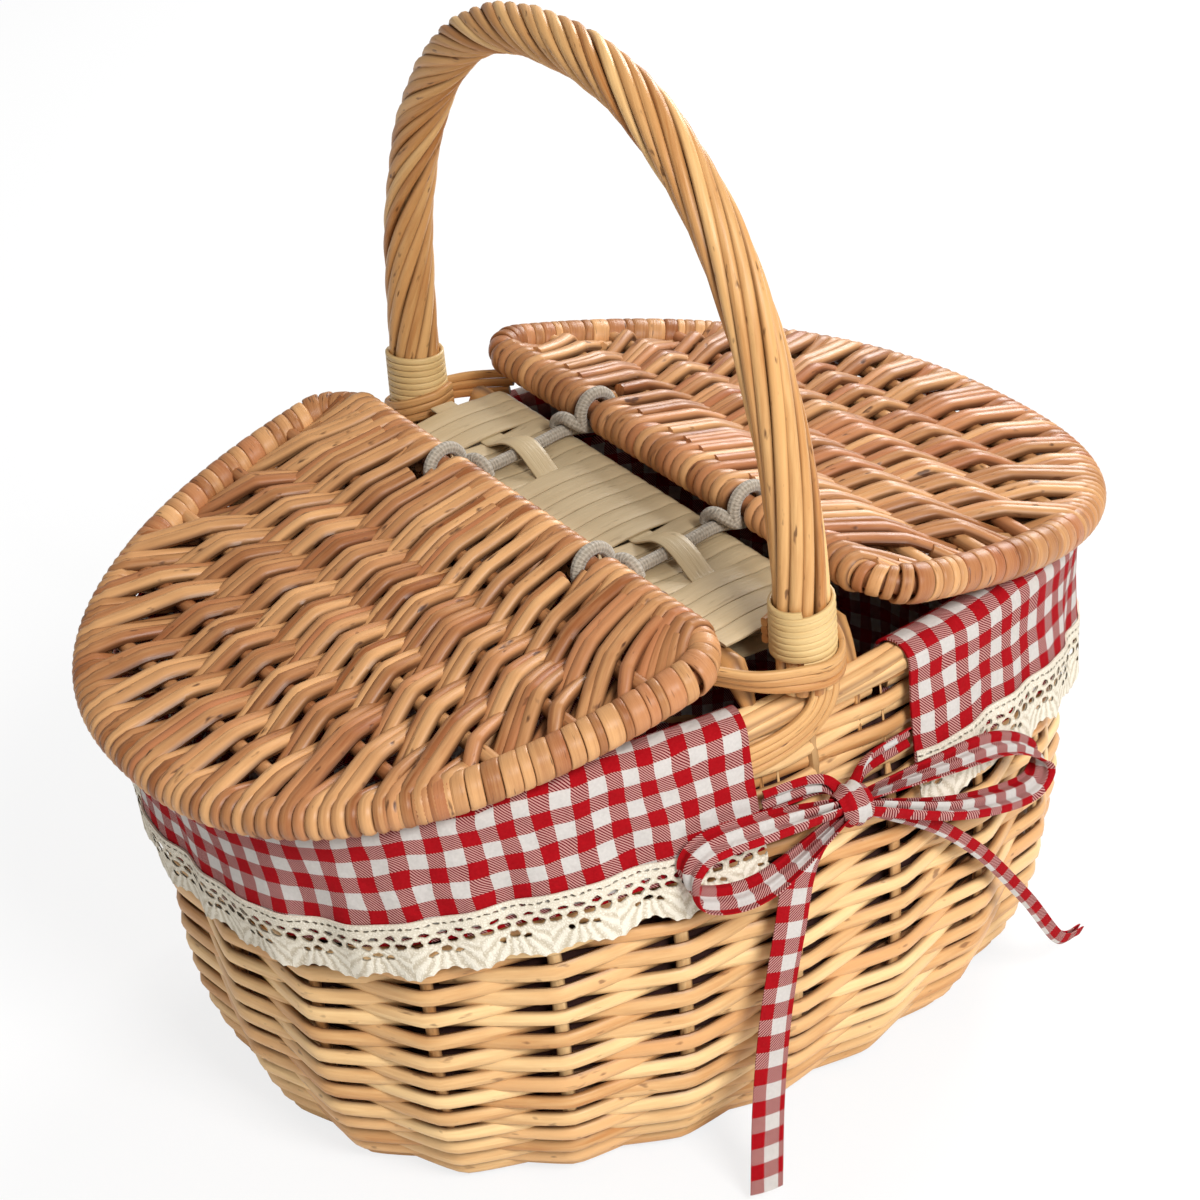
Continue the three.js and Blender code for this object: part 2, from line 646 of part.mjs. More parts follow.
function lidWeaveGeometry(outline) {
  const roll = sweep(outline, () => roundSection(LID_ROLL_DIAMETER / 2, 8), Z_AXIS, true);
  const plateShape = new THREE.Shape(outline.map((point) => new THREE.Vector2(point.x, point.y)));
  const plate = new THREE.ExtrudeGeometry(plateShape, { depth: LID_THICKNESS, bevelEnabled: false });
  plate.translate(0, 0, -LID_THICKNESS / 2);
  const channel = sweep(outline, () => roundSection(FRAME_RADIUS + 2 * FIT, 6), Z_AXIS, true);
  const bores = RIB_DEPTHS.map((depth) => alongWidth(RIB_RADIUS + FIT, lidWidthAt(depth), depth, 0, 6));
  const slots = [-1, 1].map((side) => {
    return alongWidth(SLOT_RADIUS / Math.cos(Math.PI / 12), SLOT_WIDTH / 2, 0, (side * CORD_SPACING) / 2, 12);
  });
  const panel = asGeometry(asSolid(roll).add(asSolid(plate)));
  return cut(panel, [channel, ...bores, ...slots]);
}

function addLid(name, turn) {
  const place = new THREE.Group();
  place.rotation.z = turn;
  const tilted = new THREE.Group();
  tilted.position.set(HINGE_OFFSET, 0, HINGE_HEIGHT);
  tilted.rotation.y = DROOP;
  place.add(tilted);
  basket.add(place);
  const outline = lidOutline();
  const frame = sweep(outline, () => roundSection(FRAME_RADIUS, 6), Z_AXIS, true);
  addPiece(`${name}_frame`, frame, BUFF, tilted);
  addPiece(`${name}_weave`, lidWeaveGeometry(outline), BUFF, tilted);
  RIB_DEPTHS.forEach((depth, i) => {
    addPiece(`${name}_rib_${i + 1}`, alongWidth(RIB_RADIUS, ribHalfLength(depth), depth, 0, 6), BUFF, tilted);
  });
}

// Liner. The bag hangs inside the wall, and its cuffs turn over the border and hang outside.
function linerBagGeometry() {
  const ringAt = (height, inset) => PLAN_ANGLES.map((angle) => {
    return wallPoint(angle, height(angle), -WALL_THICKNESS - CLOTH_FIT - inset);
  });
  const slopes = WALL_ROWS.slice(2, -1).map((row) => (angle) => row * wallTop(angle));
  const mouth = (angle) => rimTop(angle) - CUFF_INNER_DROP - FIT;
  const face = (inset) => {
    const bottom = () => FLOOR_THICKNESS + FIT + inset;
    return [bottom, ...slopes, mouth].map((height) => ringAt(height, inset));
  };
  return loft([...face(0), ...face(CLOTH_THICKNESS).reverse()]);
}

const CUFF_FIRST = rimAngle(-CUFF_GAP_LEFT, -1);
const CUFF_LAST = rimAngle(-CUFF_GAP_RIGHT, 1) - 2 * Math.PI;

// Angles from one end of a cuff to the other, on the wall's own corners and at even steps between them.
function cuffAngles(divisions) {
  const step = PLAN_STEP / divisions;
  const first = Math.floor(CUFF_FIRST / step - 0.5);
  const last = Math.ceil(CUFF_LAST / step + 0.5);
  const between = Array.from({ length: first - last + 1 }, (_, i) => (first - i) * step);
  return [CUFF_FIRST, ...between, CUFF_LAST];
}

function fold(angle, count, depth) {
  const share = (angle - CUFF_FIRST) / (CUFF_LAST - CUFF_FIRST);
  return (depth * (1 - Math.cos(2 * Math.PI * count * share))) / 2;
}

// One face of a cuff, from its inner edge over the border and down to its hem. Lift moves it off the border.
function cuffFace(angle, lift) {
  const radius = BORDER_RADIUS + CLOTH_FIT + lift;
  const over = [4, 3, 2, 1, 0].map((step) => (at) => {
    const turn = (step * Math.PI) / 4;
    return borderPoint(at, radius * Math.cos(turn), radius * Math.sin(turn));
  });
  const inner = (at) => wallPoint(at, rimTop(at) - CUFF_INNER_DROP, -WALL_THICKNESS - CLOTH_FIT - lift);
  const wave = fold(angle, CUFF_FOLDS, CUFF_FOLD_DEPTH);
  const hang = [0.55, 1].map((share) => (at) => {
    return wallPoint(at, rimTop(at) - share * CUFF_DROP, CLOTH_FIT + lift + share * wave);
  });
  return [inner, ...over, ...hang].map((place) => faceted(angle, place));
}

function cuffGeometry() {
  const rings = cuffAngles(CUFF_DIVISIONS).map((angle) => {
    return [...cuffFace(angle, 0), ...cuffFace(angle, CLOTH_THICKNESS).reverse()];
  });
  return loft(rings);
}

// Lace edging sewn under a cuff's hem, gathered into folds with a scallop on each.
function laceGeometry() {
  const rings = cuffAngles(LACE_DIVISIONS).map((angle) => {
    const gather = fold(angle, LACE_FOLDS, 1);
    const drop = LACE_WIDTH - LACE_SCALLOP * (1 - gather);
    const upper = CLOTH_FIT + fold(angle, CUFF_FOLDS, CUFF_FOLD_DEPTH);
    const lower = CLOTH_FIT + LACE_FOLD_DEPTH * gather;
    const top = (at) => rimTop(at) - CUFF_DROP - FIT;
    const face = (lift) => [
      faceted(angle, (at) => wallPoint(at, top(at), upper + lift)),
      faceted(angle, (at) => wallPoint(at, top(at) - drop, lower + lift)),
    ];
    return [...face(0), ...face(CLOTH_THICKNESS).reverse()];
  });
  return loft(rings);
}

// Bows. Ribbon routes are places on the front: across, height and stand-off from the wall, then width.
function frontPoint([x, z, standOff]) {
  return new THREE.Vector3(x, wallFront(x, Math.max(z, HANG_HEIGHT)) - standOff, z);
}

function ribbonGeometry(route, reference) {
  const path = route.map(frontPoint);
  return sweep(path, (i) => flatSection(route[i][3], RIBBON_THICKNESS), reference);
}

const KNOT_Z = RIM_HEIGHT - KNOT_DROP;
const PINCHED = RIBBON_WIDTH / 2;
const ARM_STAND_OFF = CLOTH_FIT + RIBBON_THICKNESS / 2;
const cuffEdge = (angle) => faceted(angle, (at) => wallPoint(at, KNOT_Z + ARM_RISE, CLOTH_FIT)).x;
const LEFT_EDGE = cuffEdge(CUFF_FIRST) + ARM_GAP;
const RIGHT_EDGE = -cuffEdge(CUFF_LAST) - ARM_GAP;
const LOOP_FACE = new THREE.Vector3(0, -0.8, -0.6);
const ARM_FACE = new THREE.Vector3(0, -0.2, 1);
const TAIL_FACE = new THREE.Vector3(0.75, 0, 0.66);

// A ribbon's first place, inside the knot, which later cuts the ribbon back to its own surface.
// Shares are of the knot's length, height and depth.
function knotRoot(across, up, forward) {
  const x = KNOT_ACROSS + across * KNOT_LENGTH;
  return [x, KNOT_Z + up * KNOT_HEIGHT, KNOT_STAND_OFF + forward * KNOT_DEPTH, PINCHED];
}

// A flat arm from a cuff's edge to the back of the knot.
function armRoute(side, edge) {
  return [
    [edge, KNOT_Z + ARM_RISE, ARM_STAND_OFF, PINCHED],
    [KNOT_ACROSS + side * KNOT_LENGTH, KNOT_Z + 0.8 * ARM_RISE, ARM_STAND_OFF, PINCHED],
    knotRoot(0.22 * side, 0.25, -0.3),
  ];
}

// A loop that leaves the knot and comes back to it. Shares are of the loop's reach, and of its rise
// where they are above the knot or its sag where they are below.
function loopRoute(reach, rise, sag, shares) {
  const side = Math.sign(reach);
  const bight = shares.map(([out, up]) => {
    const z = KNOT_Z + up * (up > 0 ? rise : sag);
    return [KNOT_ACROSS + out * reach, z, LOOP_STAND_OFF, RIBBON_WIDTH];
  });
  return [knotRoot(0.28 * side, 0.12, 0.08), ...bight, knotRoot(0.28 * side, -0.12, 0.08)];
}

// A tail that hangs from the knot to its tip. Shares are of its sideways reach and of its fall.
function tailRoute(reach, tipHeight, tipStandOff, width, shares) {
  const hang = shares.map(([out, down], i) => {
    const standOff = THREE.MathUtils.lerp(TAIL_STAND_OFF, tipStandOff, (i / (shares.length - 1)) ** 2);
    return [KNOT_ACROSS + out * reach, THREE.MathUtils.lerp(KNOT_Z, tipHeight, down), standOff, width];
  });
  return [knotRoot(0.2 * Math.sign(reach), -0.25, -0.15), ...hang];
}

const RIBBONS = {
  left_arm: [ARM_FACE, armRoute(-1, LEFT_EDGE)],
  right_arm: [ARM_FACE, armRoute(1, RIGHT_EDGE)],
  left_loop: [LOOP_FACE, loopRoute(-LEFT_LOOP_REACH, LEFT_LOOP_RISE, LEFT_LOOP_SAG, [
    [0.54, 1], [0.88, 1], [1, 0], [0.93, -0.8], [0.6, -1],
  ])],
  right_loop: [LOOP_FACE, loopRoute(RIGHT_LOOP_REACH, 0, RIGHT_LOOP_SAG, [
    [0.43, 0], [0.76, -0.2], [1, -0.7], [0.92, -1], [0.5, -0.62],
  ])],
  left_tail: [X_AXIS, tailRoute(-LEFT_TAIL_SWING, LEFT_TAIL_GROUND_GAP, 1.5 * TAIL_STAND_OFF, RIBBON_WIDTH, [
    [0.44, 0.17], [0.75, 0.32], [0.9, 0.52], [0.97, 0.73], [1, 1],
  ])],
  right_tail: [TAIL_FACE, tailRoute(
    RIGHT_TAIL_REACH, RIGHT_TAIL_TIP_HEIGHT, RIGHT_TAIL_TIP_STAND_OFF, FOLDED_RIBBON_WIDTH,
    [[0.26, 0.19], [0.47, 0.4], [0.72, 0.68], [1, 1]],
  )],
};

function knotGeometry(clearance) {
  const knot = new THREE.SphereGeometry(1, 10, 7);
  const half = [KNOT_LENGTH, KNOT_DEPTH, KNOT_HEIGHT].map((size) => size / 2 + clearance);
  knot.scale(...half);
  const middle = frontPoint([KNOT_ACROSS, KNOT_Z, KNOT_STAND_OFF]);
  return knot.translate(middle.x, middle.y, middle.z);
}

function addBows() {
  addPair('bow_front_knot', 'bow_back_knot', knotGeometry(0), GINGHAM);
  for (const [name, [face, route]] of Object.entries(RIBBONS)) {
    const ribbon = cut(ribbonGeometry(route, face), [knotGeometry(FIT)]);
    addPair(`bow_front_${name}`, `bow_back_${name}`, ribbon, GINGHAM);
  }
}

const sockets = [handleCoreGeometry(FIT), barRodGeometry(-BAR_X, FIT), barRodGeometry(BAR_X, FIT)];
addPiece('base_floor', floorGeometry(), STRAW);
addPiece('side_wall', cut(wallGeometry(), sockets), STRAW);
addPiece('rim_border', cut(borderGeometry(), sockets), STRAW);

addPiece('handle_core', handleCoreGeometry(0), STRAW);
for (let i = 0; i < HANDLE_ROD_COUNT; i++) {
  addPiece(`handle_rod_${String(i + 1).padStart(2, '0')}`, handleRodGeometry(i), STRAW);
}
const binding = footBand('handle_binding', BINDING_TURNS, BINDING_WIDTH, BINDING_THICKNESS, BINDING_BOTTOM);
addPair('handle_binding_near', 'handle_binding_far', binding, CREAM);
const collar = footBand('foot_collar', COLLAR_TURNS, COLLAR_WIDTH, COLLAR_THICKNESS, COLLAR_BOTTOM);
addPair('foot_collar_near', 'foot_collar_far', collar, STRAW);
addPair('foot_tails_near', 'foot_tails_far', footTailsGeometry(), STRAW);

addPiece('bar_rod_left', barRodGeometry(-BAR_X, 0), STRAW);
addPiece('bar_rod_right', barRodGeometry(BAR_X, 0), STRAW);
addPiece('bar_winding', barWindingGeometry(), CREAM);
addPiece('bar_listing', listingGeometry(), CREAM);
addPiece('hinge_cord_near', hingeCordGeometry(-1), COTTON);
addPiece('hinge_cord_far', hingeCordGeometry(1), COTTON);

addPiece('liner_bag', linerBagGeometry(), GINGHAM);
addPair('liner_cuff_left', 'liner_cuff_right', cuffGeometry(), GINGHAM);
addPair('lace_left', 'lace_right', laceGeometry(), LACE);
addBows();

addLid('right_lid', 0);
addLid('left_lid', Math.PI);

export default basket;
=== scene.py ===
# %% [markdown]
# # A willow picnic basket
#
# The real basket is woven by hand: peeled willow rods over upright stakes, two lids woven over ribs,
# a handle of rods twisted round a bow, and a gingham liner tied on with ribbon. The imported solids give
# the places, the sizes and the joints. Each step below dresses one group of them.
#
# Sizes are in millimetres, as on a maker's sketch. A mesh is scaled to metres when it is made.

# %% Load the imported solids
import math

import bpy
import numpy as np
from mathutils import Matrix


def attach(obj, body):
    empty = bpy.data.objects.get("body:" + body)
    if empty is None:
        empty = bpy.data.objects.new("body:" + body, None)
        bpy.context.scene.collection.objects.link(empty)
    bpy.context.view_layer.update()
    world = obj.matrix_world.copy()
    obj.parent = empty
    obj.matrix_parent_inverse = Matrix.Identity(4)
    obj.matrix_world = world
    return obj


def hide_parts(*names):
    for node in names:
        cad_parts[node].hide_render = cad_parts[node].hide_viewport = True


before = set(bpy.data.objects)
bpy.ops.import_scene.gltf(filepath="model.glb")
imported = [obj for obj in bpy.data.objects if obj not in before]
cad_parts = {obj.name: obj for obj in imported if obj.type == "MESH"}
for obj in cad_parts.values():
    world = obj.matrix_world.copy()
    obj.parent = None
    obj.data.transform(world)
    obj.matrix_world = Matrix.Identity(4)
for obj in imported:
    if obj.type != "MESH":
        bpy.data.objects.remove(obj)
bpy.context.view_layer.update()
MM = 0.001
UP = np.array([0, 0, 1.0])
chance = np.random.default_rng(20)

# %% [markdown]
# ## Camera
#
# The photograph looks down at the front left of the basket and leans a little to one side. A camera
# could be aimed with a constraint, but its turn, height and lean are known as angles, so its three axes
# are worked out and set directly.

# %% Camera
VIEW_TURN = math.radians(31.62)
VIEW_HEIGHT = math.radians(30.98)
VIEW_LEAN = math.radians(-4.75)
VIEW_DISTANCE = 1200
VIEW_MIDDLE = np.array([0, 0, 150.0])
LENS = 94.858
SENSOR_WIDTH = 36
PICTURE_SHIFT = (-0.00502, 0.0228)


def camera_matrix():
    flat = math.cos(VIEW_HEIGHT)
    back = np.array([-math.sin(VIEW_TURN) * flat, -math.cos(VIEW_TURN) * flat, math.sin(VIEW_HEIGHT)])
    level = np.array([math.cos(VIEW_TURN), -math.sin(VIEW_TURN), 0])
    upright = np.cross(back, level)
    right = level * math.cos(VIEW_LEAN) + upright * math.sin(VIEW_LEAN)
    up = upright * math.cos(VIEW_LEAN) - level * math.sin(VIEW_LEAN)
    matrix = np.eye(4)
    matrix[:3] = np.column_stack([right, up, back, (VIEW_MIDDLE + back * VIEW_DISTANCE) * MM])
    return Matrix(matrix.tolist())


bpy.ops.object.camera_add()
camera = bpy.context.object
camera.matrix_world = camera_matrix()
camera.data.lens = LENS
camera.data.sensor_width = SENSOR_WIDTH
camera.data.shift_x, camera.data.shift_y = PICTURE_SHIFT
scene = bpy.context.scene
scene.camera = camera
scene.view_settings.view_transform = "Standard"
print("camera at", [round(value, 3) for value in camera.location])

# %% [markdown]
# ## Nodes
#
# Every finish and the world are built from nodes. A few kinds come back again and again, so each has a
# short function that adds the node, links it and gives back its output.

# %% Node helpers


def set_inputs(tree, node, inputs):
    """Sets inputs by name or number. Each is a value, a colour without alpha, or an output to link."""
    for name, value in inputs.items():
        if isinstance(value, bpy.types.NodeSocket):
            tree.links.new(value, node.inputs[name])
        elif node.inputs[name].type == "RGBA":
            node.inputs[name].default_value = (*value, 1)
        else:
            node.inputs[name].default_value = value


def add_node(tree, kind, inputs=None, **settings):
    node = tree.nodes.new(f"ShaderNode{kind}")
    for name, value in settings.items():
        setattr(node, name, value)
    set_inputs(tree, node, inputs or {})
    return node


def add_math(tree, operation, *values):
    return add_node(tree, "Math", dict(enumerate(values)), operation=operation).outputs[0]


def add_vector_math(tree, operation, *values):
    return add_node(tree, "VectorMath", dict(enumerate(values)), operation=operation).outputs[0]


def add_range(tree, value, source, target=(0, 1), **settings):
    """The value moved from a source range to a target range."""
    ends = {"From Min": source[0], "From Max": source[1], "To Min": target[0], "To Max": target[1]}
    return add_node(tree, "MapRange", {"Value": value, **ends}, **settings).outputs["Result"]


def add_noise(tree, vector, scale, detail, output="Fac"):
    inputs = {"Vector": vector, "Scale": scale, "Detail": detail}
    return add_node(tree, "TexNoise", inputs).outputs[output]


def add_mix(tree, share, first, second):
    """A colour mix, whose sockets are found by number because their names repeat."""
    return add_node(tree, "Mix", {0: share, 6: first, 7: second}, data_type="RGBA").outputs[2]


def add_bump(tree, height, strength, distance, **more):
    inputs = {"Height": height, "Strength": strength, "Distance": distance * MM, **more}
    return add_node(tree, "Bump", inputs).outputs[0]


def add_uv(tree):
    return add_node(tree, "UVMap", uv_map="UVMap").outputs[0]


def new_material(name):
    material = bpy.data.materials.new(name)
    material.use_nodes = True
    tree = material.node_tree
    return material, tree, tree.nodes["Principled BSDF"]


def new_group(name, given, made):
    """An empty node group, the outputs of what it is given and the node that takes what it makes."""
    group = bpy.data.node_groups.new(name, "ShaderNodeTree")
    for way, sockets in (("INPUT", given), ("OUTPUT", made)):
        for socket, kind in sockets.items():
            group.interface.new_socket(socket, in_out=way, socket_type=f"NodeSocket{kind}")
    return group, group.nodes.new("NodeGroupInput").outputs, group.nodes.new("NodeGroupOutput")


print("node helpers ready")

# %% [markdown]
# ## Floor and light
#
# A product photograph has a white sweep and large soft lamps. The floor is a plain pale sheet, the world
# gives an even fill, and one big lamp in front and a smaller one at the right shape the rods. The
# world shows white to the camera and a plain grey level to everything that it lights.

# %% Floor and light
FILL_LEVEL = 0.36
FLOOR_GLOW = 0.8
FLOOR_SIZE = 12000
WHITE = (1, 1, 1)


def set_studio_world():
    world = bpy.data.worlds.new("studio")
    world.use_nodes = True
    scene.world = world
    tree = world.node_tree
    seen = add_node(tree, "LightPath").outputs["Is Camera Ray"]
    level = add_range(tree, seen, (0, 1), (FILL_LEVEL, 1))
    set_inputs(tree, tree.nodes["Background"], {"Color": WHITE, "Strength": level})


def add_lamp(name, place, size, watts):
    bpy.ops.object.light_add(type="AREA", location=[value * MM for value in place])
    lamp = bpy.context.object
    lamp.name = name
    lamp.data.size = size * MM
    lamp.data.energy = watts
    aim = VIEW_MIDDLE - place
    tilt = math.atan2(math.hypot(aim[0], aim[1]), -aim[2])
    lamp.rotation_euler = (tilt, 0, math.atan2(aim[1], aim[0]) - math.pi / 2)


def add_floor():
    bpy.ops.mesh.primitive_plane_add(size=FLOOR_SIZE * MM)
    floor = bpy.context.object
    floor.name = "studio_floor"
    material, tree, shader = new_material("studio_paper")
    mottle = add_node(tree, "TexNoise", {"Scale": 2}).outputs["Fac"]
    paper = add_range(tree, mottle, (0, 1), (0.9, 0.92))
    set_inputs(tree, shader, {"Base Color": paper, "Roughness": 0.9})
    seen = add_node(tree, "LightPath").outputs["Is Camera Ray"]
    glow = add_math(tree, "MULTIPLY", seen, FLOOR_GLOW)
    white = add_node(tree, "Emission", {"Color": WHITE, "Strength": 1}).outputs[0]
    blend = add_node(tree, "MixShader", {0: glow, 1: shader.outputs[0], 2: white}).outputs[0]
    set_inputs(tree, tree.nodes["Material Output"], {"Surface": blend})
    floor.data.materials.append(material)


set_studio_world()
add_lamp("key_lamp", (-60, -1650, 1600), size=700, watts=46)
add_lamp("side_lamp", (1300, 700, 900), size=600, watts=21)
add_floor()
print("lamps:", [light.name for light in bpy.data.lights])

# %% [markdown]
# ## Willow
#
# Peeled willow is pale straw colour, with fibres along the rod, a slow change of tone from rod to rod
# and small dark knots. An image could be wrapped round each rod, but noise stretched along the rod's
# own length gives the same look at any size. Shade is painted on too: each rod is darker at its sides
# and where it dips under another rod or behind a stake. The lids, handle, wall and skein all use it
# with their own colours, so it is a node group.

# %% Willow finish
BLUSH_FROM = 0.62
KNOT_RANGE = (0.66, 0.75)
# Painted shade on a rod's sides and hidden parts: the facing values over which it deepens, and its
# strength.
SIDE_RANGE = (0.75, -0.15)
SIDE_PAINTED_SHADE = 0.85


def make_willow_group():
    group, given, made = new_group(
        "willow",
        {"UV": "Vector", "Tone": "Float", "Facing": "Float", "Knots": "Float",
         "Pale": "Color", "Deep": "Color", "Blush": "Color", "Dark": "Color"},
        {"Color": "Color", "Roughness": "Float", "Height": "Float"})
    own = add_math(group, "MULTIPLY", given["Tone"], 61)
    lift = add_node(group, "CombineXYZ", {"Z": own}).outputs[0]

    def grain(stretch, detail):
        """Noise on a rod's own UV, stretched along the rod and different for each rod's tone."""
        place = add_vector_math(group, "MULTIPLY_ADD", given["UV"], stretch, lift)
        return add_noise(group, place, 1, detail)

    fibre = grain((14, 0.07, 0), 4)
    patch = grain((1.5, 0.025, 0), 2)
    knot = grain((5, 0.11, 0), 2)
    share = add_math(group, "MULTIPLY_ADD", given["Tone"], 0.75, -0.6)
    share = add_math(group, "MULTIPLY_ADD", patch, 0.85, share)
    share = add_math(group, "MULTIPLY_ADD", fibre, 0.65, share)
    share = add_node(group, "Clamp", {"Value": share}).outputs[0]
    wood = add_mix(group, share, given["Deep"], given["Pale"])
    draw = add_math(group, "FRACT", add_math(group, "MULTIPLY", given["Tone"], 7.31))
    red = add_range(group, draw, (BLUSH_FROM, 1), (0, 0.65))
    wood = add_mix(group, red, wood, given["Blush"])
    spot = add_range(group, knot, KNOT_RANGE, (0, given["Knots"]))
    wood = add_mix(group, spot, wood, given["Dark"])
    # Painted shade: low facing values, at a rod's sides and where it dips under, are mixed towards Dark.
    edge = add_range(
        group, given["Facing"], SIDE_RANGE, (0, SIDE_PAINTED_SHADE), interpolation_type="SMOOTHSTEP")
    set_inputs(group, made, {
        "Color": add_mix(group, edge, wood, given["Dark"]),
        "Roughness": add_range(group, fibre, (0, 1), (0.27, 0.55)),
        "Height": add_math(group, "MULTIPLY_ADD", spot, -0.6, fibre),
    })
    return group


willow_group = make_willow_group()


def willow_material(name, pale, deep, blush, dark, knots):
    material, tree, shader = new_material(name)
    tone = add_node(tree, "Attribute", attribute_name="tone").outputs["Fac"]
    # The facing attribute carries the painted shade for the sides and hidden parts of each rod.
    facing = add_node(tree, "Attribute", attribute_name="facing").outputs["Fac"]
    given = {
        "UV": add_uv(tree), "Tone": tone, "Facing": facing, "Knots": knots,
        "Pale": pale, "Deep": deep, "Blush": blush, "Dark": dark,
    }
    willow = add_node(tree, "Group", given, node_tree=willow_group).outputs
    set_inputs(tree, shader, {
        "Base Color": willow["Color"],
        "Roughness": willow["Roughness"],
        "Normal": add_bump(tree, willow["Height"], strength=0.35, distance=0.6),
        "Specular IOR Level": 0.3,
    })
    return material


wall_willow = willow_material(
    "willow_straw", pale=(0.91, 0.62, 0.30), deep=(0.54, 0.24, 0.075), blush=(0.72, 0.37, 0.15),
    dark=(0.11, 0.032, 0.011), knots=0.6)
lid_willow = willow_material(
    "willow_buff", pale=(0.69, 0.37, 0.155), deep=(0.27, 0.088, 0.025), blush=(0.42, 0.135, 0.054),
    dark=(0.05, 0.014, 0.006), knots=0.85)
handle_willow = willow_material(
    "willow_gold", pale=(0.80, 0.50, 0.21), deep=(0.42, 0.16, 0.04), blush=(0.62, 0.30, 0.10),
    dark=(0.09, 0.03, 0.01), knots=0.8)
skein_willow = willow_material(
    "skein_cream", pale=(0.59, 0.46, 0.28), deep=(0.45, 0.33, 0.18), blush=(0.52, 0.40, 0.23),
    dark=(0.13, 0.07, 0.03), knots=0.3)
binding_willow = willow_material(
    "skein_gold", pale=(0.78, 0.57, 0.27), deep=(0.56, 0.34, 0.12), blush=(0.68, 0.46, 0.19),
    dark=(0.12, 0.05, 0.015), knots=0.2)
willows = (wall_willow, lid_willow, handle_willow, skein_willow, binding_willow)
print("willow finishes:", [material.name for material in willows])

# %% [markdown]
# ## Bending rods
#
# Nearly every piece is a rod or a flat skein bent along a line. A curve with a round bevel would do for
# one rod, but willow is flattened where it passes a stake and changes width along its length. So one
# straight rod is modelled, cut into rings, and each copy has its rings set along its own line.

# %% Rod and skein to copy
SMOOTH_BELOW = math.radians(60)
SKEIN_BEVEL = 0.55
TONE_SHIFT = 900
# Painted shade: how much darker a rod is where it dips behind a stake or under a rib.
PAINTED_BACK_SHADE = 0.6


def select_lengthwise(mesh, longer_than):
    """Selects the edges that run along a straight piece, and leaves it in edit mode."""
    bpy.ops.object.mode_set(mode="EDIT")
    bpy.ops.mesh.select_mode(type="EDGE")
    bpy.ops.mesh.select_all(action="DESELECT")
    bpy.ops.object.mode_set(mode="OBJECT")
    for edge in mesh.edges:
        low, high = (mesh.vertices[index].co.z for index in edge.vertices)
        edge.select = abs(low - high) > longer_than
    bpy.ops.object.mode_set(mode="EDIT")


def cut_into_rings(piece, rings):
    """Cuts the lengthwise edges of a straight piece into even rings, and reads it as a model to copy.
    One cut makes at most 100 rings, so longer pieces are cut in passes."""
    mesh = piece.data
    parts = 1
    while parts < rings - 1:
        left = (rings - 1) // parts
        share = max(part for part in range(2, 101) if left % part == 0)
        select_lengthwise(mesh, 0.5 / parts)
        bpy.ops.mesh.subdivide(number_cuts=share - 1)
        bpy.ops.object.mode_set(mode="OBJECT")
        parts *= share
    places = np.array([vertex.co for vertex in mesh.vertices])
    model = {
        "rings": rings,
        "ring": np.rint(places[:, 2] * (rings - 1)).astype(int),
        "across": places[:, 0],
        "up": places[:, 1],
        "faces": [list(face.vertices) for face in mesh.polygons],
        "corners": np.array([loop.vertex_index for loop in mesh.loops]),
        "round": np.array([corner.uv[0] for corner in mesh.uv_layers[0].data]),
    }
    bpy.data.meshes.remove(mesh)
    return model


def model_rod(rings, sides):
    bpy.ops.mesh.primitive_cylinder_add(vertices=sides, radius=1, depth=1, location=(0, 0, 0.5))
    bpy.ops.object.transform_apply()
    return cut_into_rings(bpy.context.object, rings)


def model_skein(rings):
    """A flat strip with softened edges. Like the rod it reaches from -1 to 1 both ways."""
    bpy.ops.mesh.primitive_cube_add(size=1, location=(0, 0, 0.5), scale=(2, 2, 1))
    bpy.ops.object.transform_apply()
    piece = bpy.context.object
    select_lengthwise(piece.data, 0.5)
    bpy.ops.mesh.bevel(offset=SKEIN_BEVEL, segments=2)
    bpy.ops.object.mode_set(mode="OBJECT")
    model = cut_into_rings(piece, rings)
    model["round"] = model["across"][model["corners"]] / 2 + 0.5
    return model


def points(x, y, z):
    """Rows of places from three columns. A single number fills its column."""
    return np.stack(np.broadcast_arrays(x, y, z), axis=-1)


def unit(vectors):
    return vectors / np.linalg.norm(vectors, axis=-1, keepdims=True)


def tangents_of(line):
    return unit(np.gradient(line, axis=0))


def lengths_along(line):
    steps = np.linalg.norm(np.diff(line, axis=0), axis=1)
    return np.concatenate([[0], np.cumsum(steps)])


def read_at(places, along, table):
    """The rows of a table at places along it."""
    return np.column_stack([np.interp(places, along, column) for column in table.T])


def resample(line, count):
    """The same line with evenly spaced points."""
    along = lengths_along(line)
    return read_at(np.linspace(0, along[-1], count), along, line)


def smooth_line(points, count, steps=24):
    """An even, smooth line through a few points."""
    points = np.asarray(points, float)
    ends = np.concatenate([[2 * points[0] - points[1]], points, [2 * points[-1] - points[-2]]])
    share = np.linspace(0, 1, steps, endpoint=False)[:, None]
    pieces = []
    for before, start, end, after in zip(ends, ends[1:], ends[2:], ends[3:]):
        bow = 2 * before - 5 * start + 4 * end - after
        twist = 3 * start - before - 3 * end + after
        pieces.append(start + 0.5 * share * ((end - before) + share * (bow + share * twist)))
    return resample(np.concatenate([*pieces, points[-1:]]), count)


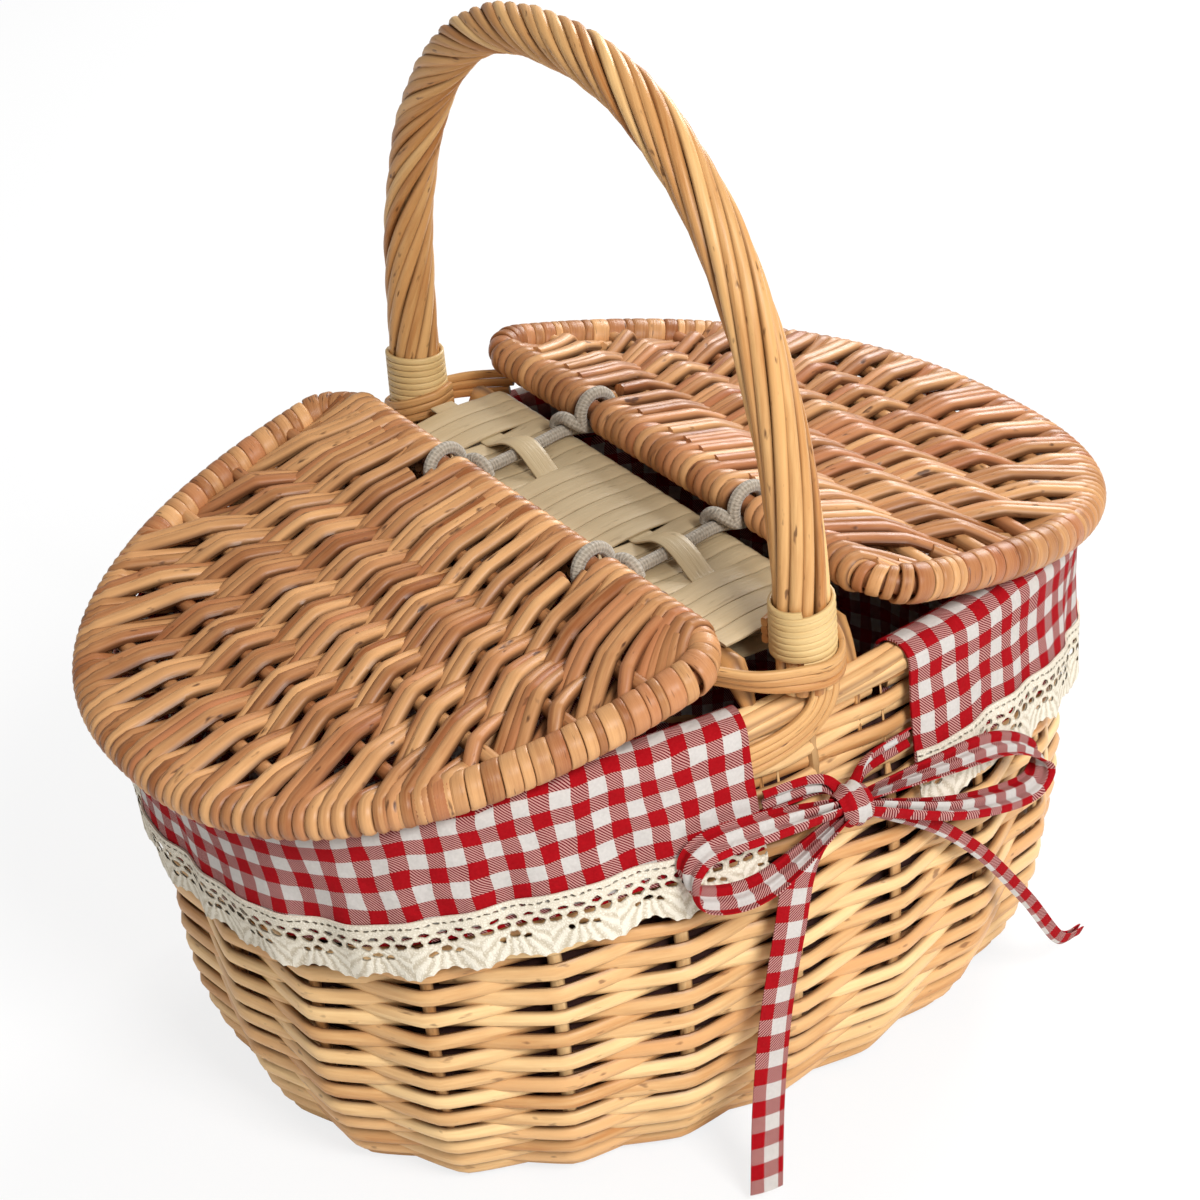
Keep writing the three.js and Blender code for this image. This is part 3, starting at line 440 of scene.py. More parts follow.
def bend(model, line, facing, wide, thick, tone, shade=0):
    """One copy of a straight model along a line. Its thickness lies along the facing direction. It
    carries painted shade: its sides are darker, its face where its shade is above 0, and its back where
    its shade is below 0."""
    rings = model["rings"]
    ring = model["ring"]
    tangent = tangents_of(line)
    side = unit(np.cross(np.broadcast_to(facing, line.shape), tangent))
    face = np.cross(tangent, side)
    across = model["across"] * np.broadcast_to(wide, rings)[ring]
    up = model["up"] * np.broadcast_to(thick, rings)[ring]
    places = line[ring] + side[ring] * across[:, None] + face[ring] * up[:, None]
    along = lengths_along(line) + TONE_SHIFT * tone
    uv = np.column_stack([model["round"], along[ring[model["corners"]]]])
    sunk = np.sign(model["up"]) * np.broadcast_to(shade, rings)[ring]
    lit = np.abs(model["up"]) - np.maximum(sunk, 0)
    return places, uv, tone, lit


def make_active(piece):
    bpy.ops.object.select_all(action="DESELECT")
    bpy.context.view_layer.objects.active = piece
    piece.select_set(True)


def smooth_faces(piece):
    make_active(piece)
    bpy.ops.object.shade_smooth_by_angle(angle=SMOOTH_BELOW)


def join_copies(name, model, copies):
    """One piece from many bent copies of a model, each with its own tone."""
    places, uv, tones, lit = zip(*copies)
    count = len(model["ring"])
    faces = [
        [corner + count * number for corner in face]
        for number in range(len(copies)) for face in model["faces"]
    ]
    mesh = bpy.data.meshes.new(name)
    mesh.from_pydata((np.concatenate(places) * MM).tolist(), [], faces)
    mesh.uv_layers.new(name="UVMap").data.foreach_set("uv", np.concatenate(uv).ravel())
    # The facing attribute holds the painted shade that the willow finish puts on sides and hidden parts.
    for key, values in (("tone", np.repeat(tones, count)), ("facing", np.concatenate(lit))):
        mesh.attributes.new(key, "FLOAT", "POINT").data.foreach_set("value", values)
    piece = bpy.data.objects.new(name, mesh)
    scene.collection.objects.link(piece)
    smooth_faces(piece)
    return piece


def hand_over(piece, body, slot, material, *nodes):
    """Gives a piece its finish, its body and the solids that it stands for."""
    piece.data.materials.clear()
    piece.data.materials.append(material)
    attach(piece, body)
    if nodes:
        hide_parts(*nodes)


def half_turn_copy(piece, name):
    """A copy with its own mesh, turned half round the basket's upright axis."""
    copy = piece.copy()
    copy.data = piece.data.copy()
    copy.name = name
    copy.data.transform(Matrix.Rotation(math.pi, 4, "Z"))
    scene.collection.objects.link(copy)
    return copy


def hand_over_pair(piece, copy_name, slot, material, *nodes):
    """A piece of the basket and its half-turn copy, each in place of its own solid."""
    pair = (piece, half_turn_copy(piece, copy_name))
    for item, node in zip(pair, nodes):
        hand_over(item, "basket", slot, material, node)
    return pair


print("rod model points:", len(model_rod(rings=12, sides=8)["ring"]))
print("skein model points:", len(model_skein(rings=12)["ring"]))

# %% [markdown]
# ## Shape of the wall
#
# The basket is a rounded oblong in plan, bowl-shaped at the foot and widening slightly to the rim. The
# rim dips towards the ends under the lids. These few functions repeat the solids' own formulas, so every
# rod lands where the solid wall is.

# %% Shape of the wall
BASE_HALVES = (155, 112)
BELLY_HALVES = (178, 140)
BELLY_HEIGHT = 110
BELLY_CURVE = 3.5
RIM_HALVES = (188, 131)
RIM_HEIGHT = 186
PLAN_POWER = 2.4
WALL_THICKNESS = 9
BORDER_RADIUS = 6.5
BORDER_GAP = 0.3
HINGE_OFFSET = 34.1
HINGE_HEIGHT = 211
LID_DROOP = math.radians(13)
LID_UNDERSIDE = 4.5
CUFF_ROOM = 2.9
RIM_BLEND = 3


def signed_power(value, power):
    return np.sign(value) * np.abs(value) ** power


def wall_halves(z):
    low = 1 - (1 - np.clip(np.asarray(z, float) / BELLY_HEIGHT, 0, 1)) ** BELLY_CURVE
    high = np.clip((z - BELLY_HEIGHT) / (RIM_HEIGHT - BELLY_HEIGHT), 0, None)
    return [
        base + (belly - base) * low + (rim - belly) * high
        for base, belly, rim in zip(BASE_HALVES, BELLY_HALVES, RIM_HALVES)
    ]


def plan_point(half_length, half_width, angle, z):
    x = half_length * signed_power(np.cos(angle), 2 / PLAN_POWER)
    y = half_width * signed_power(np.sin(angle), 2 / PLAN_POWER)
    return points(x, y, z)


def wall_point(angle, z, offset):
    half_length, half_width = wall_halves(z)
    return plan_point(half_length + offset, half_width + offset, angle, z)


def wall_front(x, z):
    half_length, half_width = wall_halves(z)
    return -half_width * (1 - np.abs(x / half_length) ** PLAN_POWER) ** (1 / PLAN_POWER)


def rim_angle(x, side):
    share = abs(x / (RIM_HALVES[0] - WALL_THICKNESS / 2)) ** (PLAN_POWER / 2)
    return side * math.acos(math.copysign(share, x))


def rim_top(angle):
    x = np.abs(plan_point(RIM_HALVES[0] - WALL_THICKNESS / 2, RIM_HALVES[1], angle, 0.0)[..., 0])
    lid = HINGE_HEIGHT - (x - HINGE_OFFSET) * math.tan(LID_DROOP)
    seat = lid - LID_UNDERSIDE / math.cos(LID_DROOP) - CUFF_ROOM
    return RIM_HEIGHT - RIM_BLEND * np.log1p(np.exp((RIM_HEIGHT - seat) / RIM_BLEND))


def border_point(angle, out, up):
    z = rim_top(angle) - BORDER_RADIUS
    half_length, half_width = wall_halves(z)
    inset = out - WALL_THICKNESS / 2
    return plan_point(half_length + inset, half_width + inset, angle, z + up)


def wall_top(angle):
    return rim_top(angle) - 2 * BORDER_RADIUS - BORDER_GAP


ALL_ROUND = np.linspace(0, 2 * math.pi, 3601)
BELLY_LENGTHS = lengths_along(wall_point(ALL_ROUND, BELLY_HEIGHT, 0))
print("round the belly:", round(BELLY_LENGTHS[-1]), "mm")

# %% [markdown]
# ## Woven wall
#
# The wall is plain randing: each rod passes in front of one stake and behind the next, and the row above
# does the opposite. Between two stakes a rod runs nearly straight, and it bends sharply where it passes
# over a stake, which leaves the small dark openings beside each stake. Near the top the rods swing less
# and the stakes come to a point, so the rows close up under the border. Rows of real rods give those
# openings and their shadows, which a bump pattern could not.

# %% Woven wall
STAKE_COUNT = 22
STAKE_SHIFT = -14.9
STAKE_HALF_WIDTH = 2.7
STAKE_HALF_DEPTH = 1.7
ROW_PITCH = 5.2
ROW_SWAY = 0.35
ROD_HALF_HEIGHT = 3.3
ROD_HALF_DEPTH = 1.9
ROD_SIZES = (0.92, 1.06)
LONG_ROD_SPANS = 12
ROD_END_GAP = 0.08
FLOOR_GAP = 0.45
WEAVE_MIDDLE = -5.1
WEAVE_SWING = 3.6
CHORD_SHARE = 0.85
PEAK_SHARPNESS = 0.96
RINGS_PER_SPAN = 10
# Shares of the wall's height, and the shares of the swing and of the stake's width left there.
TIGHT_ROWS = ((0.75, 0.87), (1, 0.5))
STAKE_POINT = ((0.74, 0.86), (1, 0.2))


def stake_angle(number):
    """Angle in plan of a place counted in stakes from the front middle."""
    spacing = BELLY_LENGTHS[-1] / STAKE_COUNT
    front = np.interp(1.5 * math.pi, ALL_ROUND, BELLY_LENGTHS)
    along = (front + STAKE_SHIFT + np.asarray(number) * spacing) % BELLY_LENGTHS[-1]
    return np.interp(along, BELLY_LENGTHS, ALL_ROUND)


def row_line(numbers, share, turn):
    """Middle line of one rod of a row. Turn is even where the rod is in front of even stakes."""

    def on_wall(number):
        angle = stake_angle(number)
        return wall_point(angle, share * wall_top(angle), WEAVE_MIDDLE)

    before = np.floor(numbers)
    between = (numbers - before)[:, None]
    chord = on_wall(before) * (1 - between) + on_wall(before + 1) * between
    line = on_wall(numbers) * (1 - CHORD_SHARE) + chord * CHORD_SHARE
    peak = math.asin(PEAK_SHARPNESS)
    swing = WEAVE_SWING * np.arcsin(PEAK_SHARPNESS * np.cos(math.pi * (numbers + turn))) / peak
    swing = swing * np.interp(share, *TIGHT_ROWS)
    ahead = on_wall(numbers + 0.02) - on_wall(numbers - 0.02)
    out = unit(np.cross(ahead, UP))
    # The last value is painted shade, darker where the rod dips behind a stake.
    return line + out * swing[:, None], out, -PAINTED_BACK_SHADE * swing / WEAVE_SWING


def row_shares():
    """Heights of the rows as shares of the wall, evenly spaced up the wall's curved profile."""
    top = float(wall_top(-math.pi / 2))
    heights = np.linspace(0, top, 600)
    along = lengths_along(np.column_stack([wall_halves(heights)[1], heights]))
    lowest = ROD_HALF_HEIGHT
    highest = along[-1] - 0.4 * ROD_HALF_HEIGHT
    places = np.linspace(lowest, highest, round((highest - lowest) / ROW_PITCH) + 1)
    return np.interp(places, along, heights) / top


def weave_wall():
    rod = model_rod(rings=LONG_ROD_SPANS * RINGS_PER_SPAN + 1, sides=9)
    copies = []
    for row, share in enumerate(row_shares()):
        start = 2 * int(chance.integers(0, STAKE_COUNT // 2)) + row + 1
        join = start + LONG_ROD_SPANS
        for first, last in ((start, join), (join, start + STAKE_COUNT)):
            numbers = np.linspace(first + ROD_END_GAP, last - ROD_END_GAP, rod["rings"])
            line, out, shade = row_line(numbers, share, row)
            phase = chance.uniform(0, 6.3)
            swayed = line[:, 2] + ROW_SWAY * np.sin(numbers * 0.9 + phase)
            line[:, 2] = np.maximum(swayed, ROD_HALF_HEIGHT + FLOOR_GAP)
            full = chance.uniform(*ROD_SIZES) * (1 + 0.05 * np.sin(numbers * 1.7 + phase))
            height = ROD_HALF_HEIGHT * full
            copies.append(bend(rod, line, out, height, ROD_HALF_DEPTH, chance.random(), shade))
    return join_copies("wall_rods", rod, copies)


def set_stakes():
    rod = model_rod(rings=24, sides=8)
    copies = []
    for number in range(STAKE_COUNT):
        angle = float(stake_angle(number))
        z = np.linspace(1, float(wall_top(angle)), rod["rings"])
        line = wall_point(angle, z, WEAVE_MIDDLE)
        out = unit(line * [1, 1, 0])
        point = np.interp(z / z[-1], *STAKE_POINT)
        wide = STAKE_HALF_WIDTH * point
        copies.append(bend(rod, line, out, wide, STAKE_HALF_DEPTH * point, chance.random()))
    return join_copies("wall_stakes", rod, copies)


hand_over(weave_wall(), "basket", "willow_straw", wall_willow, "side_wall")
hand_over(set_stakes(), "basket", "willow_straw", wall_willow)
print("rows in the wall:", len(row_shares()), "stakes:", STAKE_COUNT)

# %% [markdown]
# ## Rim border
#
# Six thick rods lie in a loose rope round the rim. They show in the gaps between the cuffs.

# %% Rim border
BORDER_RODS = 6
BORDER_TURNS = 5
BORDER_ROD_RADIUS = 2.9
BORDER_START = 0.3
BORDER_PHASE = 0.7


def twist_border():
    rod = model_rod(rings=241, sides=9)
    angle = np.linspace(0, 2 * math.pi, rod["rings"]) + BORDER_START
    reach = BORDER_RADIUS - BORDER_ROD_RADIUS
    copies = []
    for number in range(BORDER_RODS):
        turn = 2 * math.pi * number / BORDER_RODS + BORDER_TURNS * angle + BORDER_PHASE
        line = border_point(angle, reach * np.cos(turn), reach * np.sin(turn))
        full = BORDER_ROD_RADIUS * (1 + 0.06 * np.sin(5 * angle + 2 * number))
        copies.append(bend(rod, line, UP, full, full, chance.random()))
    return join_copies("rim_rods", rod, copies)


hand_over(twist_border(), "basket", "willow_straw", wall_willow, "rim_border")
print("border rods:", BORDER_RODS)

# %% [markdown]
# ## Handle
#
# Eleven rods lie side by side round the bow and twist with it. The twist is gentle near the front foot
# and tight over the top and beyond, where the basket maker turned the bundle, and the bundle is a little
# slimmer there.

# %% Handle rods
FOOT_Y = -float(border_point(-math.pi / 2, 0, 0)[1])
HANDLE_POWER = 2.29
HANDLE_RISE = 178
HANDLE_FOOT = RIM_HEIGHT + 20
HANDLE_LOWEST = RIM_HEIGHT + 0.6
HANDLE_RODS = 11
HANDLE_CIRCLE = 8.4
HANDLE_RADIUS = 10.55
HANDLE_ROD_HALF = 2.6
HANDLE_ROD_DEPTH = 2.1
HANDLE_ROD_SIZES = (0.9, 1.05)
HANDLE_ROD_SHIFTS = (-0.35, 0.2)
HANDLE_TAPER = 1.2
# Shares of the handle's length, and turns per whole handle there.
TWIST_RATES = ((0, 0.9), (0.15, 1.2), (0.32, 2.4), (0.46, 5), (0.56, 6), (0.68, 5), (0.8, 3.4), (1, 2.2))


def arch_line(count):
    angle = np.linspace(0, math.pi, 800)
    y = -FOOT_Y * signed_power(np.cos(angle), 2 / HANDLE_POWER)
    z = HANDLE_FOOT + HANDLE_RISE * np.sin(angle) ** (2 / HANDLE_POWER)
    foot = np.array([[0, -FOOT_Y, HANDLE_LOWEST]])
    return resample(np.concatenate([foot, points(0, y, z), foot * [1, -1, 1]]), count)


def handle_twist(count):
    """Turns from the near foot at even steps along the handle."""
    rate = np.interp(np.linspace(0, 1, count), *zip(*TWIST_RATES))
    return np.concatenate([[0], np.cumsum((rate[1:] + rate[:-1]) / 2)]) / (count - 1)


def twist_handle():
    rod = model_rod(rings=181, sides=9)
    count = rod["rings"]
    middle = arch_line(count)
    level = np.array([1.0, 0, 0])
    across = np.cross(tangents_of(middle), level)
    slim = np.sin(np.linspace(0, math.pi, count)) ** 0.7
    copies = []
    for number in range(HANDLE_RODS):
        wander = 0.05 * np.sin(np.linspace(0, 9, count) + 2.4 * number)
        turn = 2 * math.pi * (number / HANDLE_RODS + handle_twist(count)) + wander
        out = level * np.cos(turn)[:, None] + across * np.sin(turn)[:, None]
        wide = HANDLE_ROD_HALF * chance.uniform(*HANDLE_ROD_SIZES) * (1 - 0.14 * slim)
        reach = HANDLE_CIRCLE + chance.uniform(*HANDLE_ROD_SHIFTS) - HANDLE_TAPER * slim
        line = middle + reach[:, None] * out
        copies.append(bend(rod, line, out, wide, HANDLE_ROD_DEPTH - 0.2 * slim, chance.random()))
    return join_copies("handle_rods", rod, copies)


handle_nodes = [f"handle_rod_{number:02d}" for number in range(1, HANDLE_RODS + 1)]
hand_over(twist_handle(), "basket", "willow_straw", handle_willow, *handle_nodes)
print("handle turns:", round(float(handle_twist(181)[-1]), 2))

# %% [markdown]
# ## Handle feet
#
# Flat skein is wound round each foot. Under it three flattened rods come along the rim, pass in front of
# the foot and turn up behind it, and four ends sweep down the front and are tucked in beside the cuff.
# The far collar sits a little lower than the near one.

# %% Handle feet
BINDING_TURNS = 8
BINDING_BOTTOM = 200
BINDING_PITCH = 2.6
BINDING_START = -2.2
COLLAR_RODS = 3
COLLAR_LIFT = 4
COLLAR_PITCH = 3.3
# Middle line of the lowest collar rod, from the handle's foot.
COLLAR_ROUTE = (
    (-36, 10, 194), (-21, -6, 191.5), (-7, -12.6, 189.8), (3, -13.4, 189.4), (10.2, -8.6, 190.8),
    (13.2, 0, 193.6), (10, 8.6, 196.6), (0, 13, 198.6), (-9, 10, 199),
)
FAR_COLLAR_DROP = 4
TAIL_RODS = 4
TAIL_PITCH = 3
TAIL_TOP = 189
TAIL_SWEEP = 36
TAIL_DROP = 25


def wind_binding():
    skein = model_skein(rings=BINDING_TURNS * 24 + 1)
    share = np.linspace(0, 1, skein["rings"])
    turn = 2 * math.pi * BINDING_TURNS * share + BINDING_START
    tilt = 1.2 * np.cos(turn) * (0.2 + 1.2 * share)
    z = BINDING_BOTTOM + BINDING_TURNS * BINDING_PITCH * share + tilt
    out = points(np.cos(turn), np.sin(turn), 0)
    radius = HANDLE_RADIUS + 0.7 - 0.3 * share
    line = out * radius[:, None] + points(0, -FOOT_Y, z)
    return join_copies("binding_near", skein, [bend(skein, line, out, wide=1.32, thick=0.75, tone=0.6)])


def lay_collar():
    skein = model_skein(rings=72)
    copies = []
    for number in range(COLLAR_RODS):
        lift = COLLAR_LIFT + COLLAR_PITCH * number
        route = [(x - 2 * number * (x < -20), y - FOOT_Y, z + lift) for x, y, z in COLLAR_ROUTE]
        line = smooth_line(route, skein["rings"])
        out = unit((line - [0, 4 - FOOT_Y, 0]) * [1, 1, 0])
        copies.append(bend(skein, line, out, wide=1.65, thick=1.2, tone=0.1 + 0.2 * number))
    return join_copies("collar_near", skein, copies)


def sweep_tails():
    skein = model_skein(rings=40)
    rim_front = float(wall_halves(RIM_HEIGHT - BORDER_RADIUS)[1]) - WALL_THICKNESS / 2 + BORDER_RADIUS
    turn = np.linspace(0, math.pi / 2, skein["rings"])
    y = -rim_front - 1.6 - 0.5 * np.sin(2 * turn) + 3.2 * np.sin(turn) ** 3
    copies = []
    for number in range(TAIL_RODS):
        inset = TAIL_PITCH * number
        x = 7 - inset - (TAIL_SWEEP - inset) * (1 - np.cos(turn))
        z = TAIL_TOP - (TAIL_DROP - inset) * np.sin(turn)
        line = resample(points(x, y, z), skein["rings"])
        copies.append(bend(skein, line, [0, -1.0, 0], wide=1.4, thick=1.2, tone=0.35 + 0.15 * number))
    return join_copies("foot_tails_near_rods", skein, copies)


feet = {"handle_binding": wind_binding(), "foot_collar": lay_collar(), "foot_tails": sweep_tails()}
for node, near in feet.items():
    finish = binding_willow if node == "handle_binding" else handle_willow
    slot = "skein_cream" if node == "handle_binding" else "willow_straw"
    nodes = (f"{node}_near", f"{node}_far")
    near, far = hand_over_pair(near, f"{node}_far_rods", slot, finish, *nodes)
    if node == "foot_collar":
        far.data.transform(Matrix.Translation((0, 0, -FAR_COLLAR_DROP * MM)))
print("handle feet:", list(feet))

# %% [markdown]
# ## Centre bar
#
# Two stout rods carry the bar. Cream skein is wound round both of them in one long strip, and a flat
# listing strip runs along the top. It is woven under the skein, except beside the hinge cords, where it
# bridges the cord.

# %% Centre bar
BAR_X = 21.8
BAR_HEIGHT = 196
BAR_STRAIGHT = FOOT_Y - HANDLE_RADIUS - 1.1 - 8
BAR_WOUND = BAR_STRAIGHT + 4.5
BAR_TURNS = 21
BAR_END_DEPTHS = np.array([28, 14, 0.0])
BAR_RADII = (0.8, 2, 5)
SKEIN_RADIUS = 6.3
SKEIN_GAP = 0.45
CORD_PLACE = 50
CORD_HEIGHT = 205.9
LISTING_SHOWN = 40
LISTING_HEIGHT = 202.2
LISTING_BRIDGE = 7.2


def bend_bar_rods():
    rod = model_rod(rings=90, sides=12)
    depths = RIM_HEIGHT - BORDER_RADIUS - BAR_END_DEPTHS
    copies = []
    for x in (-BAR_X, BAR_X):
        half = [(x, float(wall_front(x, z)) + WALL_THICKNESS / 2 + 1, z) for z in depths]
        half.append((x, -BAR_STRAIGHT - 9, BAR_HEIGHT - 1.5))
        half += [(x, y, BAR_HEIGHT) for y in (-BAR_STRAIGHT, -40)]
        other = [(px, -py, pz) for px, py, pz in reversed(half)]
        line = smooth_line([*half, *other], rod["rings"])
        full = np.interp(line[:, 2], [depths[1], depths[2], BAR_HEIGHT], BAR_RADII)
        copies.append(bend(rod, line, [1.0, 0, 0], full, full, chance.random()))
    return join_copies("bar_rods", rod, copies)


def bar_loop(share):
    """Place and outward direction round both bar rods, at a share of one turn from the left rod's top."""
    straight = 2 * BAR_X
    round_end = math.pi * SKEIN_RADIUS
    at = (share % 1) * 2 * (straight + round_end)
    below = at > straight + round_end
    at = np.where(below, at - straight - round_end, at)
    turn = np.clip((at - straight) / SKEIN_RADIUS, 0, math.pi)
    x = np.minimum(at, straight) - BAR_X + SKEIN_RADIUS * np.sin(turn)
    sign = np.where(below, -1, 1)
    out = points(sign * np.sin(turn), 0, sign * np.cos(turn))
    return points(sign * x, 0, sign * SKEIN_RADIUS * np.cos(turn)), out


def wind_bar():
    skein = model_skein(rings=BAR_TURNS * 44 + 1)
    pitch = 2 * BAR_WOUND / (BAR_TURNS + 1)
    turn = np.linspace(0, BAR_TURNS, skein["rings"])
    line, out = bar_loop(turn)
    y = -BAR_WOUND + pitch * (0.5 + turn)
    on_top = out[:, 2] > 0.99
    under_listing = np.abs(np.abs(y) - CORD_PLACE) < LISTING_SHOWN / 2
    middle = np.where(on_top, 1 - np.clip(np.abs(line[:, 0]) / 15, 0, 1) ** 2, 0)
    z = BAR_HEIGHT + middle * np.where(under_listing, -0.9, 1.0)
    line = line + points(0, y, z)
    wide = (pitch - SKEIN_GAP) / 2 * (1 + 0.025 * np.sin(turn * 9.1))
    return join_copies("bar_skein", skein, [bend(skein, line, out, wide, thick=0.65, tone=0.6)])


def lay_listing():
    skein = model_skein(rings=160)
    y = np.linspace(-BAR_WOUND + 2, BAR_WOUND - 2, skein["rings"])
    from_cord = np.abs(np.abs(y) - CORD_PLACE)
    hump = np.clip(1 - from_cord / 19, 0, 1)
    z = LISTING_HEIGHT + LISTING_BRIDGE * np.sin(hump * math.pi / 2) ** 1.3
    strip = bend(skein, points(0, y, z), UP, wide=5, thick=0.6, tone=0.4)
    return join_copies("bar_listing_strip", skein, [strip])


hand_over(bend_bar_rods(), "basket", "willow_straw", handle_willow, "bar_rod_left", "bar_rod_right")
hand_over(wind_bar(), "basket", "skein_cream", skein_willow, "bar_winding")
hand_over(lay_listing(), "basket", "skein_cream", skein_willow, "bar_listing")
print("bar:", round(2 * BAR_WOUND), "mm wound")

# %% [markdown]
# ## Lids
#
# Each lid is a D of thick rod with five ribs across it. Weavers run from the hinge side to the curved
# side, two or three side by side, over one rib and under the next. Most go round the hinge rod at one
# end and round the edge at the other. Where the edge runs along a weaver, its end is tucked in beside
# it. Flat wraps cover the rest of the frame, which makes the fat rolled edge. The weavers fan out
# because the curved side is longer than the hinge side.

# %% Lid shape
LIDS = {"right_lid": 1, "left_lid": -1}
LID_OVERHANG = 7
LID_SIDE_INSET = 7.5
LID_DEPTH = (RIM_HALVES[0] + LID_OVERHANG - HINGE_OFFSET) / math.cos(LID_DROOP)
LID_HALF_WIDTH = RIM_HALVES[1] + LID_OVERHANG - LID_SIDE_INSET - WALL_THICKNESS / 4
LID_POWER = 2.36
LID_CORNER = 16
LID_RIBS = 5
HINGE_WEAVERS = 42
ROLL_SLOTS = 98
CORD_ROOM = 5.9
BESIDE_CORD = (-3, 3)
BEHIND_CORD = 12.5
CORNER_LAP = 3
RIB_DEPTHS = LID_DEPTH * np.arange(1, LID_RIBS + 1) / (LID_RIBS + 1)


def lid_to_basket(places, side):
    """From a lid's own flat frame to its place on the basket. Side is 1 for the right lid, -1 for the
    left."""
    x = HINGE_OFFSET + places[:, 0] * math.cos(LID_DROOP) + places[:, 2] * math.sin(LID_DROOP)
    z = HINGE_HEIGHT - places[:, 0] * math.sin(LID_DROOP) + places[:, 2] * math.cos(LID_DROOP)
    return points(side * x, side * places[:, 1], z)


def lid_turn(vectors, side):
    """The same for directions."""
    return lid_to_basket(vectors, side) - lid_to_basket(np.zeros((1, 3)), side)


def lid_half_width_at(depth):
    return LID_HALF_WIDTH * (1 - np.clip(depth / LID_DEPTH, 0, 1) ** LID_POWER) ** (1 / LID_POWER)


def lid_arc(count):
    """Even points along the curved side, from corner to corner."""
    start = math.asin((LID_CORNER / LID_DEPTH) ** (LID_POWER / 2))
    angle = np.linspace(start, math.pi - start, 1200)
    x = LID_DEPTH * np.sin(angle) ** (2 / LID_POWER)
    y = LID_HALF_WIDTH * signed_power(np.cos(angle), 2 / LID_POWER)
    return resample(points(x, y, 0), count)


def hinge_places():
    """Even places along the hinge side as (place, where the weaver starts). The hinge rod is left free
    for the two cords, so the weavers there start a little behind it."""
    end = float(lid_half_width_at(LID_CORNER)) - LID_CORNER + CORNER_LAP
    outer = CORD_PLACE + CORD_ROOM
    inner = CORD_PLACE - CORD_ROOM
    stretches = [(end, outer), (inner, -inner), (-outer, -end)]
    total = sum(first - last for first, last in stretches)
    counts = [round(HINGE_WEAVERS * (first - last) / total) for first, last in stretches]
    wrapped = [
        (first + (last - first) * (number + 0.5) / count, 0)
        for (first, last), count in zip(stretches, counts) for number in range(count)
    ]
    beside = [(side * CORD_PLACE + shift, BEHIND_CORD) for side in (-1, 1) for shift in BESIDE_CORD]
    return sorted([*wrapped, *beside], reverse=True)


print("lid:", round(LID_DEPTH), "x", round(2 * LID_HALF_WIDTH), "mm;", len(hinge_places()), "places")

# %% Lid weave
WEAVER_SWING = 4.4
WEAVER_LIFT = 1.2
WEAVER_THICK = 2.4
WEAVER_HALVES = (2.7, 3.2)
WEAVER_SIZES = (0.9, 1.08)
SHORTEST_WEAVER = 16
FAN_ELBOW = 0.15
EDGE_ROOM = 9
# An extra weaver is laid in beside another, slimmer than it, and some of them start at a rib.
EXTRA_SIZE = 0.9
EXTRA_LAP = 5
SHORT_SHARE = 0.3
PAIR_PITCH = 2.9
STEPS_PER_SLOT = 20
SLOT_START = 8
# Where the edge runs along a weaver, its end is tucked in this far and this low.
TUCKED_FROM = 0.9
TUCK = 4
TUCK_HEIGHT = -2
HINGE_WRAP_RADIUS = 5.7
ROLL_RADIUS = 5.7
# Half width and half thickness of a weaver round the hinge rod and round the edge.
HINGE_WRAP_SIZE = (2.9, 1.7)
ROLL_WRAP_SIZE = (2.6, 1.5)
# Directions along the hinge rod and out from it, and the degrees of each kind of turn.
HINGE_WAYS = np.array([[0, 1.0, 0], [-1.0, 0, 0]])
HINGE_TURN = (-150, 80)
ROLL_TURN = (88, -205)
EDGE_TURN = (200, -165)
WRAP_SLIDE = 2.4
LID_MIDDLE = (40, 0, 0)
EDGE_WRAPS = 92
EDGE_WRAP_SIZES = (0.6, 1.5)
EDGE_RADIUS = 5
BARE_EDGE_LIFT = 1.3
BARE_BLEND = 0.15


def wrap_line(place, ways, radius, degrees, slide, count):
    """A turn round a rod at a place: its line and its outward directions. The ways are along the rod and
    out from it. The degrees up from the outward way and the slide along the rod run from start to end."""
    along_way, out_way = ways
    turn = np.radians(np.linspace(*degrees, count))[:, None]
    out = out_way * np.cos(turn) + UP * np.sin(turn)
    return place + radius * out + along_way * np.linspace(*slide, count)[:, None], out


def panel_line(hinge_y, roll_place, parity, first, tucked):
    """Over and under the ribs, from the depth called first to the curved side."""
    reach = roll_place[0] - 1
    share = np.linspace(0, 1, 90)[2:-1]
    elbow = hinge_y + FAN_ELBOW * (roll_place[1] - hinge_y)
    x = share * reach
    y = (1 - share) ** 2 * hinge_y + 2 * share * (1 - share) * elbow + share ** 2 * roll_place[1]
    knots = [(0, HINGE_WRAP_RADIUS)]
    for rib, depth in enumerate(RIB_DEPTHS):
        if depth < reach - EDGE_ROOM:
            over = 1 if (parity + rib) % 2 == 0 else -1
            knots.append((depth, WEAVER_LIFT + over * WEAVER_SWING))
    knots.append((max(reach, knots[-1][0] + 1), TUCK_HEIGHT if tucked else ROLL_RADIUS))
    depths, heights = np.array(knots).T
    step = np.clip(np.searchsorted(depths, x, side="right") - 1, 0, len(depths) - 2)
    between = np.clip((x - depths[step]) / (depths[step + 1] - depths[step]), 0, 1)
    eased = 0.7 * between + 0.3 * (0.5 - 0.5 * np.cos(math.pi * between))
    z = heights[step] + (heights[step + 1] - heights[step]) * eased
    return points(x, y, z)[x >= first]


